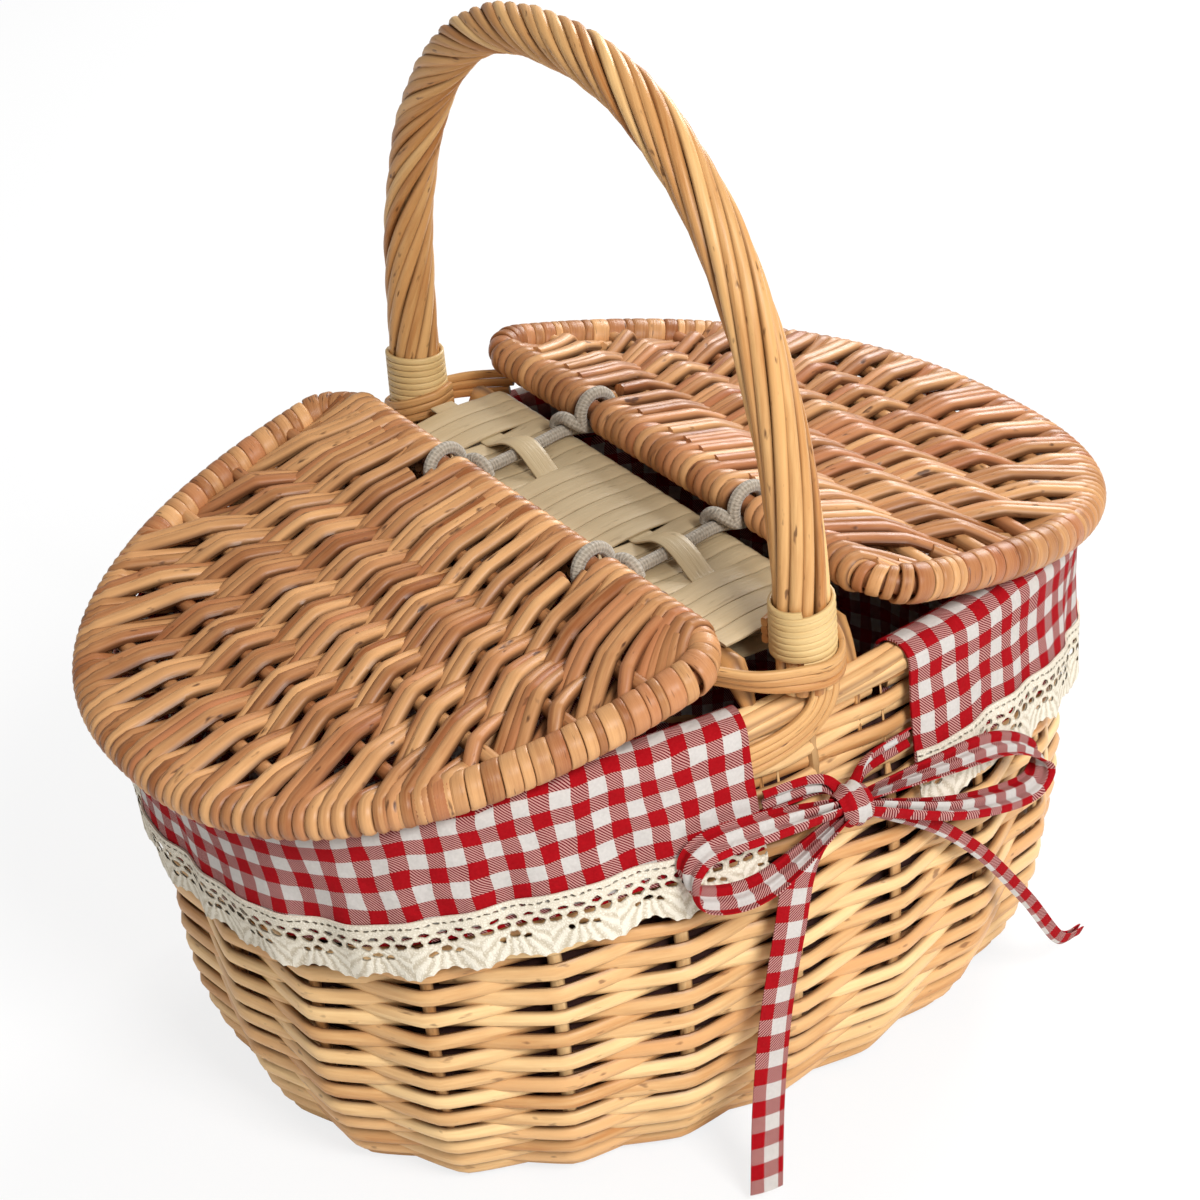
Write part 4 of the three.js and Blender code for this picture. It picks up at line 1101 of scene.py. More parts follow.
def weaver(rod, side, hinge_y, roll, parity, first, full):
    """One weaver. It starts with a turn round the hinge rod where first is 0, and ends with a turn round
    the edge where it isn't tucked in."""
    roll_place, ways = roll
    tucked = abs(ways[1][1]) > TUCKED_FROM
    if tucked:
        roll_place = roll_place - TUCK * ways[1]
    panel = panel_line(hinge_y, roll_place, parity, first, tucked)
    high = np.clip((panel[:, 2] - WEAVER_LIFT) / WEAVER_SWING, -1, 1)
    half = np.linspace(*WEAVER_HALVES, len(panel)) + 0.35 * high
    # Painted shade, darker where the weaver dives under a rib.
    parts = [(panel, np.zeros_like(panel) + UP, half, WEAVER_THICK, -PAINTED_BACK_SHADE * high)]
    if first == 0:
        wrap = wrap_line((0, hinge_y, 0), HINGE_WAYS, HINGE_WRAP_RADIUS, HINGE_TURN, (0, 0), 14)
        parts.insert(0, (*wrap, *HINGE_WRAP_SIZE, 0))
    if not tucked:
        wrap = wrap_line(roll_place, ways, ROLL_RADIUS, ROLL_TURN, (0, WRAP_SLIDE), 26)
        parts.append((*wrap, *ROLL_WRAP_SIZE, 0))
    table = np.concatenate([
        np.column_stack([line, out, *(np.broadcast_to(value, len(line)) for value in sizes)])
        for line, out, *sizes in parts
    ])
    along = lengths_along(table[:, :3])
    even = read_at(np.linspace(0, along[-1], rod["rings"]), along, table)
    line = lid_to_basket(even[:, :3], side)
    facing = lid_turn(even[:, 3:6], side)
    wide, thick, shade = even[:, 6:].T
    return bend(rod, line, facing, wide * full, thick, chance.random(), shade)


def edge_ways(edge):
    """Directions along an edge of the lid, and square to it in the lid's plane, away from its middle."""
    along = tangents_of(edge)
    out = points(-along[:, 1], along[:, 0], 0)
    away = np.sign(np.sum(out * (edge - LID_MIDDLE), axis=1))
    return list(zip(along, out * away[:, None]))


def edge_line(count):
    """The frame's middle line along the curved side and round both hinge corners."""
    edge = float(lid_half_width_at(LID_CORNER))
    turn = np.linspace(0, math.pi / 2, 16)[1:]
    x = LID_CORNER * (1 - np.sin(turn))
    y = -edge + LID_CORNER * (1 - np.cos(turn))
    corner = points(x, y, 0)
    return resample(np.concatenate([(corner * [1, -1, 1])[::-1], lid_arc(400), corner]), count)


def wrap_edge(name, side):
    """Flat wraps of uneven width, side by side, that cover the frame under the ends of the weavers."""
    skein = model_skein(rings=33)
    edge = edge_line(2001)
    ways = edge_ways(edge)
    widths = chance.uniform(*EDGE_WRAP_SIZES, EDGE_WRAPS)
    ends = np.concatenate([[0], np.cumsum(widths)]) / np.sum(widths)
    length = lengths_along(edge)[-1]
    slide = (-WRAP_SLIDE, WRAP_SLIDE)
    copies = []
    for start, end in zip(ends, ends[1:]):
        at = round((start + end) / 2 * (len(edge) - 1))
        bare = np.clip((abs(ways[at][1][1]) - TUCKED_FROM + BARE_BLEND) / BARE_BLEND, 0, 1)
        radius = EDGE_RADIUS + BARE_EDGE_LIFT * bare
        line, out = wrap_line(edge[at], ways[at], radius, EDGE_TURN, slide, skein["rings"])
        wide = (end - start) * length / 2 * 0.98
        copies.append(bend(
            skein, lid_to_basket(line, side), lid_turn(out, side), wide, 0.9, chance.random()))
    return join_copies(name, skein, copies)


def weave_lid(name, side):
    places = hinge_places()
    arc = lid_arc(ROLL_SLOTS * STEPS_PER_SLOT + 1)
    ways = edge_ways(arc)
    rod = model_rod(rings=113, sides=8)
    copies = []
    for number, (hinge_y, start) in enumerate(places):
        slots = [(number + step) * ROLL_SLOTS // len(places) for step in (0, 1)]
        for extra, slot in enumerate(range(*slots)):
            at = slot * STEPS_PER_SLOT + SLOT_START
            first = start
            if extra:
                short = chance.random() < SHORT_SHARE
                first = RIB_DEPTHS[1 - number % 2] - EXTRA_LAP if short else max(start, EXTRA_LAP)
                first = min(first, max(arc[at][0] - SHORTEST_WEAVER, 2))
            roll = (arc[at], ways[at])
            full = chance.uniform(*WEAVER_SIZES) * (EXTRA_SIZE if extra else 1)
            copies.append(weaver(rod, side, hinge_y - PAIR_PITCH * extra, roll, number, first, full))
    return join_copies(name, rod, copies)


for body, side in LIDS.items():
    hand_over(weave_lid(f"{body}_weavers", side), body, "willow_buff", lid_willow, f"{body}_weave")
    hand_over(wrap_edge(f"{body}_wraps", side), body, "willow_buff", lid_willow)
print("on each lid:", ROLL_SLOTS, "weavers,", EDGE_WRAPS, "wraps")

# %% Lid frame and ribs
FRAME_RADIUS = 4
RIB_RADIUS = 3
RIB_INSET = 5


def bend_frame(name, side):
    rod = model_rod(rings=201, sides=10)
    edge = edge_line(400)
    line = lid_to_basket(resample(np.concatenate([edge, edge[:1]]), rod["rings"]), side)
    copy = bend(rod, line, lid_turn(UP[None], side), FRAME_RADIUS, FRAME_RADIUS, tone=0.4)
    return join_copies(name, rod, [copy])


def lay_ribs(body, side):
    rod = model_rod(rings=12, sides=10)
    for number, depth in enumerate(RIB_DEPTHS, 1):
        half = float(lid_half_width_at(depth)) - RIB_INSET
        y = np.linspace(-half, half, rod["rings"])
        line = lid_to_basket(points(depth, y, WEAVER_LIFT), side)
        copy = bend(rod, line, lid_turn(UP[None], side), RIB_RADIUS, RIB_RADIUS, chance.random())
        piece = join_copies(f"{body}_stick_{number}", rod, [copy])
        hand_over(piece, body, "willow_buff", lid_willow, f"{body}_rib_{number}")


for body, side in LIDS.items():
    hand_over(bend_frame(f"{body}_bow", side), body, "willow_buff", lid_willow, f"{body}_frame")
    lay_ribs(body, side)
print("lid ribs:", LID_RIBS)

# %% [markdown]
# ## Hinge cords
#
# Each cord is soft braided cotton. It crosses the bar under the listing, is looped round the hinge rod of
# both lids, and ends in a half hitch over itself. The braid is two sets of strands that cross as they run
# round the cord.

# %% Cotton cord
CORD_RADIUS = 2.5
CORD_LOOP = 7.8
CORD_PITCH = 6.4
CORD_HITCH = ((1, -5.6, 0), (0.6, -4.4, 3), (0, -0.4, 5.2), (-1.6, 3.6, 4.2))
BRAID_STRANDS = 4
BRAID_RISE = 2.4


def cotton_material():
    material, tree, shader = new_material("cotton_cord")
    uv = add_uv(tree)
    split = add_node(tree, "SeparateXYZ", {0: uv}).outputs
    round_about = add_math(tree, "MULTIPLY", split["X"], BRAID_STRANDS * 2 * math.pi)
    rising = add_math(tree, "MULTIPLY_ADD", split["Y"], BRAID_RISE, round_about)
    falling = add_math(tree, "MULTIPLY_ADD", split["Y"], -BRAID_RISE, round_about)
    braid = add_math(tree, "MULTIPLY", add_math(tree, "SINE", rising), add_math(tree, "SINE", falling))
    spun = add_node(tree, "Mapping", {"Vector": uv, "Scale": (9, 2.2, 1)}).outputs[0]
    height = add_math(tree, "MULTIPLY_ADD", add_noise(tree, spun, 1, 5), 4.5, braid)
    # The colour follows the height: the spun noise gives uneven fibre tone, and the braid's low grooves are
    # painted darker as shade.
    shade = add_range(tree, height, (0.6, 3.6))
    set_inputs(tree, shader, {
        "Base Color": add_mix(tree, shade, (0.22, 0.18, 0.13), (0.52, 0.45, 0.36)),
        "Normal": add_bump(tree, height, strength=0.45, distance=0.5),
        "Roughness": 0.95,
        "Sheen Weight": 0.3,
    })
    return material


def loop_cord(name, side):
    rod = model_rod(rings=201, sides=10)
    degrees = np.linspace(300, 0, 15)
    turn = np.radians(degrees)
    x = -HINGE_OFFSET - CORD_LOOP * np.sin(turn)
    y = CORD_PITCH * (degrees / 360 - 0.5)
    z = HINGE_HEIGHT - CORD_LOOP * np.cos(turn)
    bar_edge = np.array([-BAR_X, -CORD_PITCH / 2, CORD_HEIGHT])
    crossing = [bar_edge, bar_edge * [1 / 3, 1 / 3, 1]]
    half = np.concatenate([bar_edge + CORD_HITCH, points(x, y, z), crossing])
    line = np.concatenate([half, half[::-1] * [-1, -1, 1]]) + [0, side * CORD_PLACE, 0]
    line = smooth_line(line, rod["rings"])
    return join_copies(name, rod, [bend(rod, line, [0, 1.0, 0.02], CORD_RADIUS, CORD_RADIUS, tone=0.5)])


cotton = cotton_material()
for name, side in (("near", -1), ("far", 1)):
    hand_over(loop_cord(f"cord_{name}", side), "basket", "cotton_cord", cotton, f"hinge_cord_{name}")
print("hinge cords: 2")

# %% [markdown]
# ## Gingham
#
# Gingham is woven from red and white threads in even bands. Where red crosses red the cloth is red,
# where white crosses white it is white, and where they cross it shows fine slanting lines of both. The
# pattern is built from the cloth's own UV in millimetres, so the checks keep their size on any fold.

# %% Gingham finish
CHECK = 6.35
SLANT_PITCH = 1.15
THREAD_PITCH = 0.55


def make_gingham_group():
    group, given, made = new_group(
        "gingham", {"UV": "Vector", "Wander": "Float"}, {"Color": "Color", "Height": "Float"})
    drift = add_noise(group, given["UV"], 0.035, 2, "Color")
    drift = add_node(group, "VectorMath", {0: drift, "Scale": given["Wander"]}, operation="SCALE")
    place = add_vector_math(group, "ADD", given["UV"], drift.outputs[0])
    split = add_node(group, "SeparateXYZ", {0: place}).outputs

    def band(value, size):
        share = add_math(group, "FRACT", add_math(group, "MULTIPLY", value, 1 / size))
        return add_math(group, "LESS_THAN", share, 0.5)

    def threads(value):
        return add_math(group, "SINE", add_math(group, "MULTIPLY", value, 2 * math.pi / THREAD_PITCH))

    across = band(split["X"], 2 * CHECK)
    along = band(split["Y"], 2 * CHECK)
    red = add_math(group, "MULTIPLY", across, along)
    mixed = add_math(group, "SUBTRACT", add_math(group, "MAXIMUM", across, along), red)
    slant = band(add_math(group, "ADD", split["X"], split["Y"]), SLANT_PITCH)
    worn = add_noise(group, given["UV"], 0.9, 3)
    strong = add_mix(group, worn, (0.27, 0.001, 0.004), (0.43, 0.006, 0.011))
    white = add_mix(group, worn, (0.52, 0.48, 0.45), (0.67, 0.63, 0.59))
    lined = add_mix(group, slant, (0.15, 0.002, 0.008), (0.55, 0.29, 0.26))
    cloth = add_mix(group, mixed, white, lined)
    set_inputs(group, made, {
        "Color": add_mix(group, red, cloth, strong),
        "Height": add_math(group, "MULTIPLY", threads(split["X"]), threads(split["Y"])),
    })
    return group


gingham_group = make_gingham_group()


def gingham_material(name, shift, wander):
    material, tree, shader = new_material(name)
    uv = add_uv(tree)
    moved = add_node(tree, "Mapping", {"Vector": uv, "Location": (*shift, 0)}).outputs[0]
    cloth = add_node(tree, "Group", {"UV": moved, "Wander": wander}, node_tree=gingham_group).outputs
    crease = add_bump(tree, add_noise(tree, uv, 0.09, 3), strength=0.6, distance=4)
    set_inputs(tree, shader, {
        "Base Color": cloth["Color"],
        "Normal": add_bump(tree, cloth["Height"], strength=0.4, distance=0.3, Normal=crease),
        "Roughness": 0.95,
        "Specular IOR Level": 0.1,
    })
    return material


cuff_gingham = gingham_material("gingham", (0, 0), wander=6)
ribbon_gingham = gingham_material("gingham_ribbon", (0.5, 0), wander=1.5)
print("gingham check:", CHECK, "mm")

# %% [markdown]
# ## Cloth sheets
#
# A sheet starts as a flat grid. Each of its points is then set on the shape that the cloth takes, its UV
# keeps the place on the flat cloth in millimetres, and Solidify gives it the thickness of the fabric.

# %% Sheet helpers


def thicken(piece, thickness, backing=0):
    """Gives a sheet its thickness on its inner side, whose faces use the material numbered backing."""
    make_active(piece)
    solidify = piece.modifiers.new("thickness", "SOLIDIFY")
    solidify.thickness = thickness * MM
    solidify.offset = -1
    solidify.material_offset = backing
    solidify.material_offset_rim = backing
    bpy.ops.object.modifier_apply(modifier=solidify.name)


def make_sheet(name, columns, rows, shape, thickness):
    """A cloth whose point at (across, along), both from 0 to 1, is set by the shape function.
    The function returns places and the flat place of each point, all in millimetres."""
    bpy.ops.mesh.primitive_grid_add(x_subdivisions=columns, y_subdivisions=rows, size=2)
    piece = bpy.context.object
    piece.name = name
    mesh = piece.data
    mesh.name = name
    flat = np.array([vertex.co for vertex in mesh.vertices])
    places, cloth = shape((flat[:, 0] + 1) / 2, (flat[:, 1] + 1) / 2)
    mesh.vertices.foreach_set("co", (places * MM).ravel())
    corners = np.array([loop.vertex_index for loop in mesh.loops])
    mesh.uv_layers[0].data.foreach_set("uv", cloth[corners].ravel())
    mesh.uv_layers[0].name = "UVMap"
    if thickness:
        thicken(piece, thickness)
    smooth_faces(piece)
    return piece


def along_profile(keys, share):
    """Places along a profile at shares of its length. Keys holds one line of points per profile step."""
    steps = np.linalg.norm(np.diff(keys, axis=0), axis=2).mean(axis=1)
    along = np.concatenate([[0], np.cumsum(steps)])
    target = share * along[-1]
    step = np.clip(np.searchsorted(along, target, side="right") - 1, 0, len(steps) - 1)
    between = ((target - along[step]) / steps[step])[:, None]
    column = np.arange(keys.shape[1])
    return keys[step, column] * (1 - between) + keys[step + 1, column] * between, along[-1]


print("sheet helpers ready")

# %% Liner bag and cuffs
CLOTH = 1.0
CLOTH_FIT = 0.9
CUFF_DROP = 41
CUFF_INNER_DROP = 25
CUFF_HEM = 9
CUFF_NEAR_X = -29
CUFF_FAR_X = -39
CUFF_FIRST = rim_angle(CUFF_NEAR_X, -1)
CUFF_LAST = rim_angle(CUFF_FAR_X, 1) - 2 * math.pi
# Spacing, height and phase of each wave along the cuff.
CUFF_WAVES = ((61, 0.5, 0.4), (37, 0.4, 2.1), (23, 0.3, 4.0))
# How far below the rim, and the share of the fold and the sag there.
CUFF_HANG = (
    (14, 0.1, 1.3), (22, 0.35, 0.6), (32, 0.7, 0.2), (CUFF_DROP, 1, 0), (CUFF_DROP + CUFF_HEM, 0.6, 0))
BAG_FLOOR = 10
BAG_INSET = 3
BAG_HEIGHTS = (*np.linspace(1, 0.12, 12), 0.1)
BAG_FLOOR_SHARES = (0.02, 0.2, 0.4, 0.6, 0.8, 0.97)
SEAM_REACH = 0.02


def rim_places(across):
    """Angles at shares of the rim under the left cuff, and the length of that stretch."""
    angle = np.linspace(CUFF_FIRST, CUFF_LAST, 2000)
    along = lengths_along(border_point(angle, BORDER_RADIUS, 0))
    return np.interp(across * along[-1], along, angle), along[-1]


def ripple(along, length, waves):
    """Soft uneven folds along a length, from a few waves of different spacing."""
    return sum(
        height * np.sin(2 * math.pi * along * length / spacing + phase) for spacing, height, phase in waves)


def cuff_fold(across, length):
    """How far the cuff's lower edge stands off the wall, always outward."""
    return 1.1 + 1.7 * (ripple(across, length, CUFF_WAVES) + 0.5)


def cuff_shape(across, along):
    angle, length = rim_places(across)
    out = CLOTH_FIT + CLOTH
    lift = BORDER_RADIUS + out
    fold = cuff_fold(across, length)
    top = rim_top(angle)
    keys = [wall_point(angle, top - CUFF_INNER_DROP, -WALL_THICKNESS - out)]
    for turn in np.linspace(math.pi, 0, 13):
        keys.append(border_point(angle, lift * math.cos(turn), lift * math.sin(turn)))
    for drop, share, sag in CUFF_HANG:
        keys.append(wall_point(angle, top - drop, out + share * fold + sag))
    places, width = along_profile(np.stack(keys), along)
    return places, np.column_stack([across * length, along * width])


def bag_shape(across, along):
    angle = 2 * math.pi * across
    mouth = rim_top(angle) - CUFF_INNER_DROP
    keys = [
        wall_point(angle, BAG_FLOOR + (mouth - BAG_FLOOR) * height, -WALL_THICKNESS - BAG_INSET)
        for height in BAG_HEIGHTS
    ]
    bottom = keys[-1]
    for share in BAG_FLOOR_SHARES:
        keys.append(bottom * [1 - share, 1 - share, 0] + [0, 0, BAG_FLOOR + 0.5])
    places, depth = along_profile(np.stack(keys), along)
    return places, np.column_stack([across * BELLY_LENGTHS[-1], along * depth])


def close_seam(piece):
    make_active(piece)
    bpy.ops.object.mode_set(mode="EDIT")
    bpy.ops.mesh.select_all(action="SELECT")
    bpy.ops.mesh.remove_doubles(threshold=SEAM_REACH * MM)
    bpy.ops.object.mode_set(mode="OBJECT")


def painted_shade_backing_material():
    """Near-black cotton on the side of the bag that faces the willow: painted shade for the gaps
    in the wall.
    """
    material, tree, shader = new_material("painted_shade_lining")
    weave = add_noise(tree, add_uv(tree), 1.5, 3)
    set_inputs(tree, shader, {
        "Base Color": add_mix(tree, weave, (0.035, 0.010, 0.008), (0.09, 0.03, 0.022)),
        "Normal": add_bump(tree, weave, strength=0.3, distance=0.4),
        "Roughness": 0.95,
    })
    return material


cuff = make_sheet("cuff_left", 360, 60, cuff_shape, CLOTH)
cuff_nodes = ("liner_cuff_left", "liner_cuff_right")
cuffs = hand_over_pair(cuff, "cuff_right", "gingham", cuff_gingham, *cuff_nodes)
bag = make_sheet("liner_cloth", 180, 40, bag_shape, 0)
close_seam(bag)
hand_over(bag, "basket", "gingham", cuff_gingham, "liner_bag")
bag.data.materials.append(painted_shade_backing_material())
thicken(bag, CLOTH, backing=1)

# %% [markdown]
# ## Lace
#
# A crocheted edging is sewn under each cuff, whose hem runs on behind it. Its open stitches are holes in
# the sheet, cut by the material's alpha in staggered rows above ribbed fans, and its lower edge is cut
# into scallops and small picots by the mesh itself.

# %% Lace finish
LACE_WIDTH = 23
LACE_CLOTH = 0.7
LACE_WAVES = ((31, 0.8, 1.0), (19, 0.6, 3.0), (53, 0.6, 5.0))
SCALLOP = 24
SCALLOP_DEPTH = 3
PICOT = 4.8
FAN_RIBS = 20
FAN_CENTRE = 9
# Each row of holes: spacing, shift, distance below the cuff, half width and half height.
LACE_HOLES = (
    (3, 0, 3.4, 1, 0.4), (6, 0.5, 7.2, 1.9, 1), (6, 0, 10.4, 2.2, 1.5), (SCALLOP, 0.5, 14, 1.8, 1.2),
    (SCALLOP, 0.32, 15.2, 1.4, 1), (SCALLOP, 0.68, 15.2, 1.4, 1),
)


def lace_material():
    material, tree, shader = new_material("lace")
    uv = add_uv(tree)
    place = add_vector_math(tree, "MULTIPLY_ADD", add_noise(tree, uv, 0.3, 2, "Color"), (2.4, 2.4, 0), uv)
    split = add_node(tree, "SeparateXYZ", {0: place}).outputs

    def from_middle(period, shift):
        """Distance along the lace from the middle of each repeat, in millimetres."""
        moved = add_math(tree, "FRACT", add_math(tree, "MULTIPLY_ADD", split["X"], 1 / period, shift))
        return add_math(tree, "MULTIPLY_ADD", moved, period, -period / 2)

    def eye(period, shift, height, half_wide, half_high):
        """A row of oval holes: above 0 inside a hole, below 0 outside."""
        x = add_math(tree, "MULTIPLY", from_middle(period, shift), 1 / half_wide)
        y = add_math(tree, "MULTIPLY_ADD", split["Y"], 1 / half_high, -height / half_high)
        across = add_math(tree, "MULTIPLY", x, x)
        return add_math(tree, "SUBTRACT", 1, add_math(tree, "MULTIPLY_ADD", y, y, across))

    hole, *others = [eye(*row) for row in LACE_HOLES]
    for other in others:
        hole = add_math(tree, "MAXIMUM", hole, other)
    fan_height = add_math(tree, "SUBTRACT", split["Y"], FAN_CENTRE)
    fan_turn = add_math(tree, "ARCTAN2", from_middle(SCALLOP, 0.5), fan_height)
    rib = add_math(tree, "SINE", add_math(tree, "MULTIPLY", fan_turn, FAN_RIBS))
    rib = add_math(tree, "MULTIPLY", rib, add_range(tree, split["Y"], (12, 15), (0, 0.35)))
    thread = add_node(tree, "TexVoronoi", {"Vector": place, "Scale": 0.9}, feature="DISTANCE_TO_EDGE")
    strand = add_range(tree, thread.outputs["Distance"], (0, 0.4))
    edge = add_range(tree, hole, (-0.9, 0), (0.35, 0))
    height = add_math(tree, "ADD", add_math(tree, "MULTIPLY_ADD", strand, 0.6, edge), rib)
    # The colour follows the height: the threads and fan ribs give the crochet its own uneven tone, and the
    # rims of the holes and the gaps between threads are painted darker as shade.
    shade = add_range(tree, height, (-0.1, 0.75))
    set_inputs(tree, shader, {
        "Base Color": add_mix(tree, shade, (0.48, 0.40, 0.28), (0.79, 0.73, 0.61)),
        "Alpha": add_math(tree, "LESS_THAN", hole, 0),
        "Normal": add_bump(tree, height, strength=0.4, distance=0.6),
        "Roughness": 0.95,
        "Specular IOR Level": 0.15,
    })
    return material


def lace_shape(across, along):
    angle, length = rim_places(across)
    fold = cuff_fold(across, length)
    gather = ripple(across, length, LACE_WAVES)
    point = np.sin(math.pi * across * length / SCALLOP) ** 2
    picot = np.abs(np.sin(math.pi * across * length / PICOT))
    drop = along * (LACE_WIDTH + 1 - SCALLOP_DEPTH * (1 - point) - picot)
    offset = CLOTH_FIT + CLOTH + 0.9 + fold * (1 - 0.4 * along) + 0.7 * along * (1.5 + gather)
    places = wall_point(angle, rim_top(angle) - CUFF_DROP + 1.2 - drop, offset)
    return places, np.column_stack([across * length, drop])


lace_finish = lace_material()
lace = make_sheet("lace_strip_left", 700, 14, lace_shape, LACE_CLOTH)
laces = hand_over_pair(lace, "lace_strip_right", "lace", lace_finish, "lace_left", "lace_right")

# %% [markdown]
# ## Bows
#
# A ribbon of the same gingham runs from each cuff to a bow at the front, and another at the back. Every
# ribbon is a flat strip laid along a smooth line and pinched into pleats where it enters the knot. The
# arms and loops stay partly pleated all along, so they are narrower than the tails. The right tail is
# folded along its middle.

# %% Bows
KNOT_NODES = ("bow_front_knot", "bow_back_knot")
KNOT_X = 5
KNOT_Z = 143
KNOT_STAND_OFF = 9
KNOT_ROUND = 46
KNOT_HALVES = (6.5, 6.3, 8.6)
KNOT_CLOTH = 0.8
RIBBON_HALF = 7
RIBBON_CLOTH = 0.5
RIBBON_STEPS = 400
PINCHED_WIDTH = 0.42
PLEAT_WAVES = 7
RIBBON_CUP = 0.8
FOLDED_SHARE = 0.39
FOLD_LIFT = 1.1
LOOP_STAND_OFF = 12
TAIL_STAND_OFF = 6
HANG_HEIGHT = 75


def front_point(x, z, stand_off):
    return np.array([x, float(wall_front(x, max(z, HANG_HEIGHT))) - stand_off, z])


def ribbon_piece(name, route, way, pinch, pleat, full, doubled=False):
    """A ribbon along route points, and its length. Way is the direction of its width. Pinch gives the
    share of its length that is pleated at its start and at its end, and full the share of its width
    that is open between them. A doubled ribbon is folded along its middle."""
    line = smooth_line([front_point(*place) for place in route], RIBBON_STEPS)
    tangent = tangents_of(line)
    side = unit(way - tangent * (tangent @ way)[:, None])
    face = np.cross(side, tangent)
    length = lengths_along(line)[-1]
    steps = np.linspace(0, 1, RIBBON_STEPS)

    def shape(across, along):
        opened = np.ones_like(along)
        for share, from_end in zip(pinch, (along, 1 - along)):
            if share:
                opened = np.minimum(opened, from_end / share)
        spread = full * (PINCHED_WIDTH + (1 - PINCHED_WIDTH) * np.sin(opened * math.pi / 2))
        from_middle = 2 * across - 1
        lift = pleat * (1 - spread) * np.sin(from_middle * PLEAT_WAVES)
        if doubled:
            lift = lift + FOLD_LIFT * np.tanh(4 * from_middle)
            from_middle = FOLDED_SHARE * (2 * np.abs(from_middle) - 1)
        else:
            lift = lift + RIBBON_CUP * from_middle ** 2
        reach = from_middle * RIBBON_HALF * spread
        places = read_at(along, steps, line) + read_at(along, steps, side) * reach[:, None]
        places = places + read_at(along, steps, face) * lift[:, None]
        return places, np.column_stack([across * 2 * RIBBON_HALF, along * length])

    return make_sheet(name, 16, 120, shape, RIBBON_CLOTH), length


def loop_route(reach, rise, sag, shares):
    """Out from the knot and back. Shares are of the reach, and of the rise or the sag."""
    x = KNOT_X + math.copysign(4, reach)
    start, end = ((x, KNOT_Z + up, KNOT_STAND_OFF + 1) for up in (2, -2))
    bight = [
        (KNOT_X + out * reach, KNOT_Z + up * (rise if up > 0 else sag), LOOP_STAND_OFF)
        for out, up in shares
    ]
    return [start, *bight, end]


def tail_route(reach, tip_height, tip_stand_off, shares):
    """Down from the knot to the tip, standing off more and more."""
    route = [(KNOT_X + math.copysign(3, reach), KNOT_Z - 4, KNOT_STAND_OFF - 2)]
    for step, (out, down) in enumerate(shares):
        lean = (step / (len(shares) - 1)) ** 2
        stand_off = TAIL_STAND_OFF + (tip_stand_off - TAIL_STAND_OFF) * lean
        route.append((KNOT_X + out * reach, KNOT_Z + (tip_height - KNOT_Z) * down, stand_off))
    return route


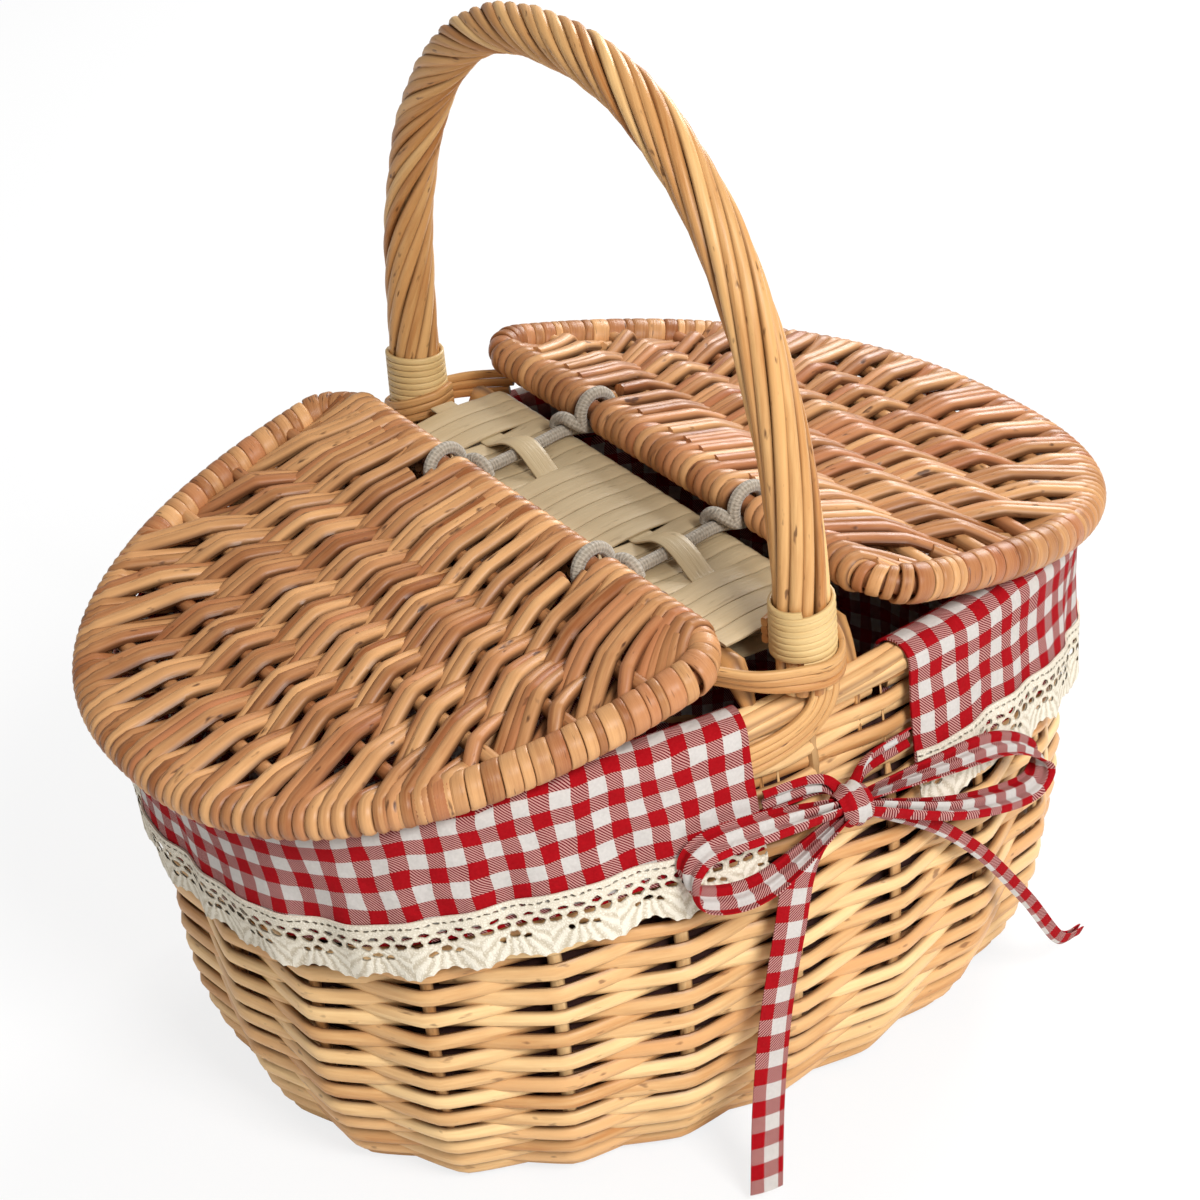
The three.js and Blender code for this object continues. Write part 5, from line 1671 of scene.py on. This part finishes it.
ARM_FOLD = {"way": (0, -0.2, 1), "pinch": (0, 0.6), "pleat": 3, "full": 0.74}
LOOP_FOLD = {"way": (0, -0.8, -0.6), "pleat": 3.4}
RIBBONS = {
    "left_arm": {
        "route": [(-27, 152, 1.6), (-4, 150, 1.8), (KNOT_X - 3, 147, 6)], **ARM_FOLD},
    "right_arm": {
        "route": [(38, 152, 1.6), (18, 150, 1.8), (KNOT_X + 3, 147, 6)], **ARM_FOLD},
    "left_loop": {
        "route": loop_route(-69, 8, 14, [(0.54, 1), (0.88, 1), (1, 0), (0.93, -0.8), (0.6, -1)]),
        "pinch": (0.3, 0.4), "full": 0.8, **LOOP_FOLD},
    "right_loop": {
        "route": loop_route(92, 0, 32, [(0.43, 0), (0.76, -0.2), (1, -0.7), (0.92, -1), (0.5, -0.62)]),
        "pinch": (0.35, 0.4), "full": 0.76, **LOOP_FOLD},
    "left_tail": {
        "route": tail_route(-52, 2, 18, [(0.4, 0.12), (0.58, 0.3), (0.74, 0.52), (0.88, 0.75), (1, 1)]),
        "way": (1, 0, 0), "pinch": (0.2, 0), "pleat": 2, "full": 1},
    "right_tail": {
        "route": tail_route(128, 12, 14, [(0.26, 0.18), (0.46, 0.37), (0.68, 0.66), (0.86, 0.92), (1, 1)]),
        "way": (0.75, 0, 0.66), "pinch": (0.15, 0), "pleat": 1.5, "full": 1, "doubled": True},
}


def tie_knot(name):
    """The short turn of ribbon round the middle of the bow."""
    middle = front_point(KNOT_X, KNOT_Z, KNOT_STAND_OFF)

    def shape(across, along):
        turn = 2 * math.pi * along
        from_middle = 2 * across - 1
        crease = 0.06 * np.sin(from_middle * 9 + 2 * np.sin(turn))
        barrel = 1 - 0.35 * np.abs(from_middle) ** 3 + crease
        x = KNOT_HALVES[0] * from_middle + 1.2 * np.sin(turn)
        y = KNOT_HALVES[1] * barrel * np.cos(turn)
        z = -KNOT_HALVES[2] * barrel * np.sin(turn)
        return middle + points(x, y, z), np.column_stack([across * 2 * RIBBON_HALF, along * KNOT_ROUND])

    return make_sheet(name, 24, 64, shape, KNOT_CLOTH)


for name, fold in RIBBONS.items():
    front, length = ribbon_piece(f"ribbon_front_{name}", **fold)
    nodes = (f"bow_front_{name}", f"bow_back_{name}")
    pair = hand_over_pair(front, f"ribbon_back_{name}", "gingham", ribbon_gingham, *nodes)
    print(name, round(length), "mm of ribbon")
knot = tie_knot("ribbon_front_knot")
for piece in hand_over_pair(knot, "ribbon_back_knot", "gingham", ribbon_gingham, *KNOT_NODES):
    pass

# %% [markdown]
# ## Plain solids that stay
#
# The floor and the handle's core keep their solid shape and get a willow finish.

# %% Plain solids


def plain_willow():
    """Willow for a solid without UV: the same fibres on Object coordinates."""
    material, tree, shader = new_material("willow_floor")
    place = add_node(tree, "TexCoord").outputs["Object"]
    stretched = add_node(tree, "Mapping", {"Vector": place, "Scale": (40, 700, 40)}).outputs[0]
    fibre = add_noise(tree, stretched, 1, 3)
    set_inputs(tree, shader, {
        "Base Color": add_mix(tree, fibre, (0.30, 0.14, 0.05), (0.62, 0.38, 0.16)),
        "Normal": add_bump(tree, fibre, strength=0.5, distance=1),
        "Roughness": 0.6,
    })
    return material


floor_willow = plain_willow()
for node in ("base_floor", "handle_core"):
    solid = bpy.data.objects[node]
    solid.data.materials.clear()
    solid.data.materials.append(floor_willow)
print("solids kept: base_floor, handle_core")
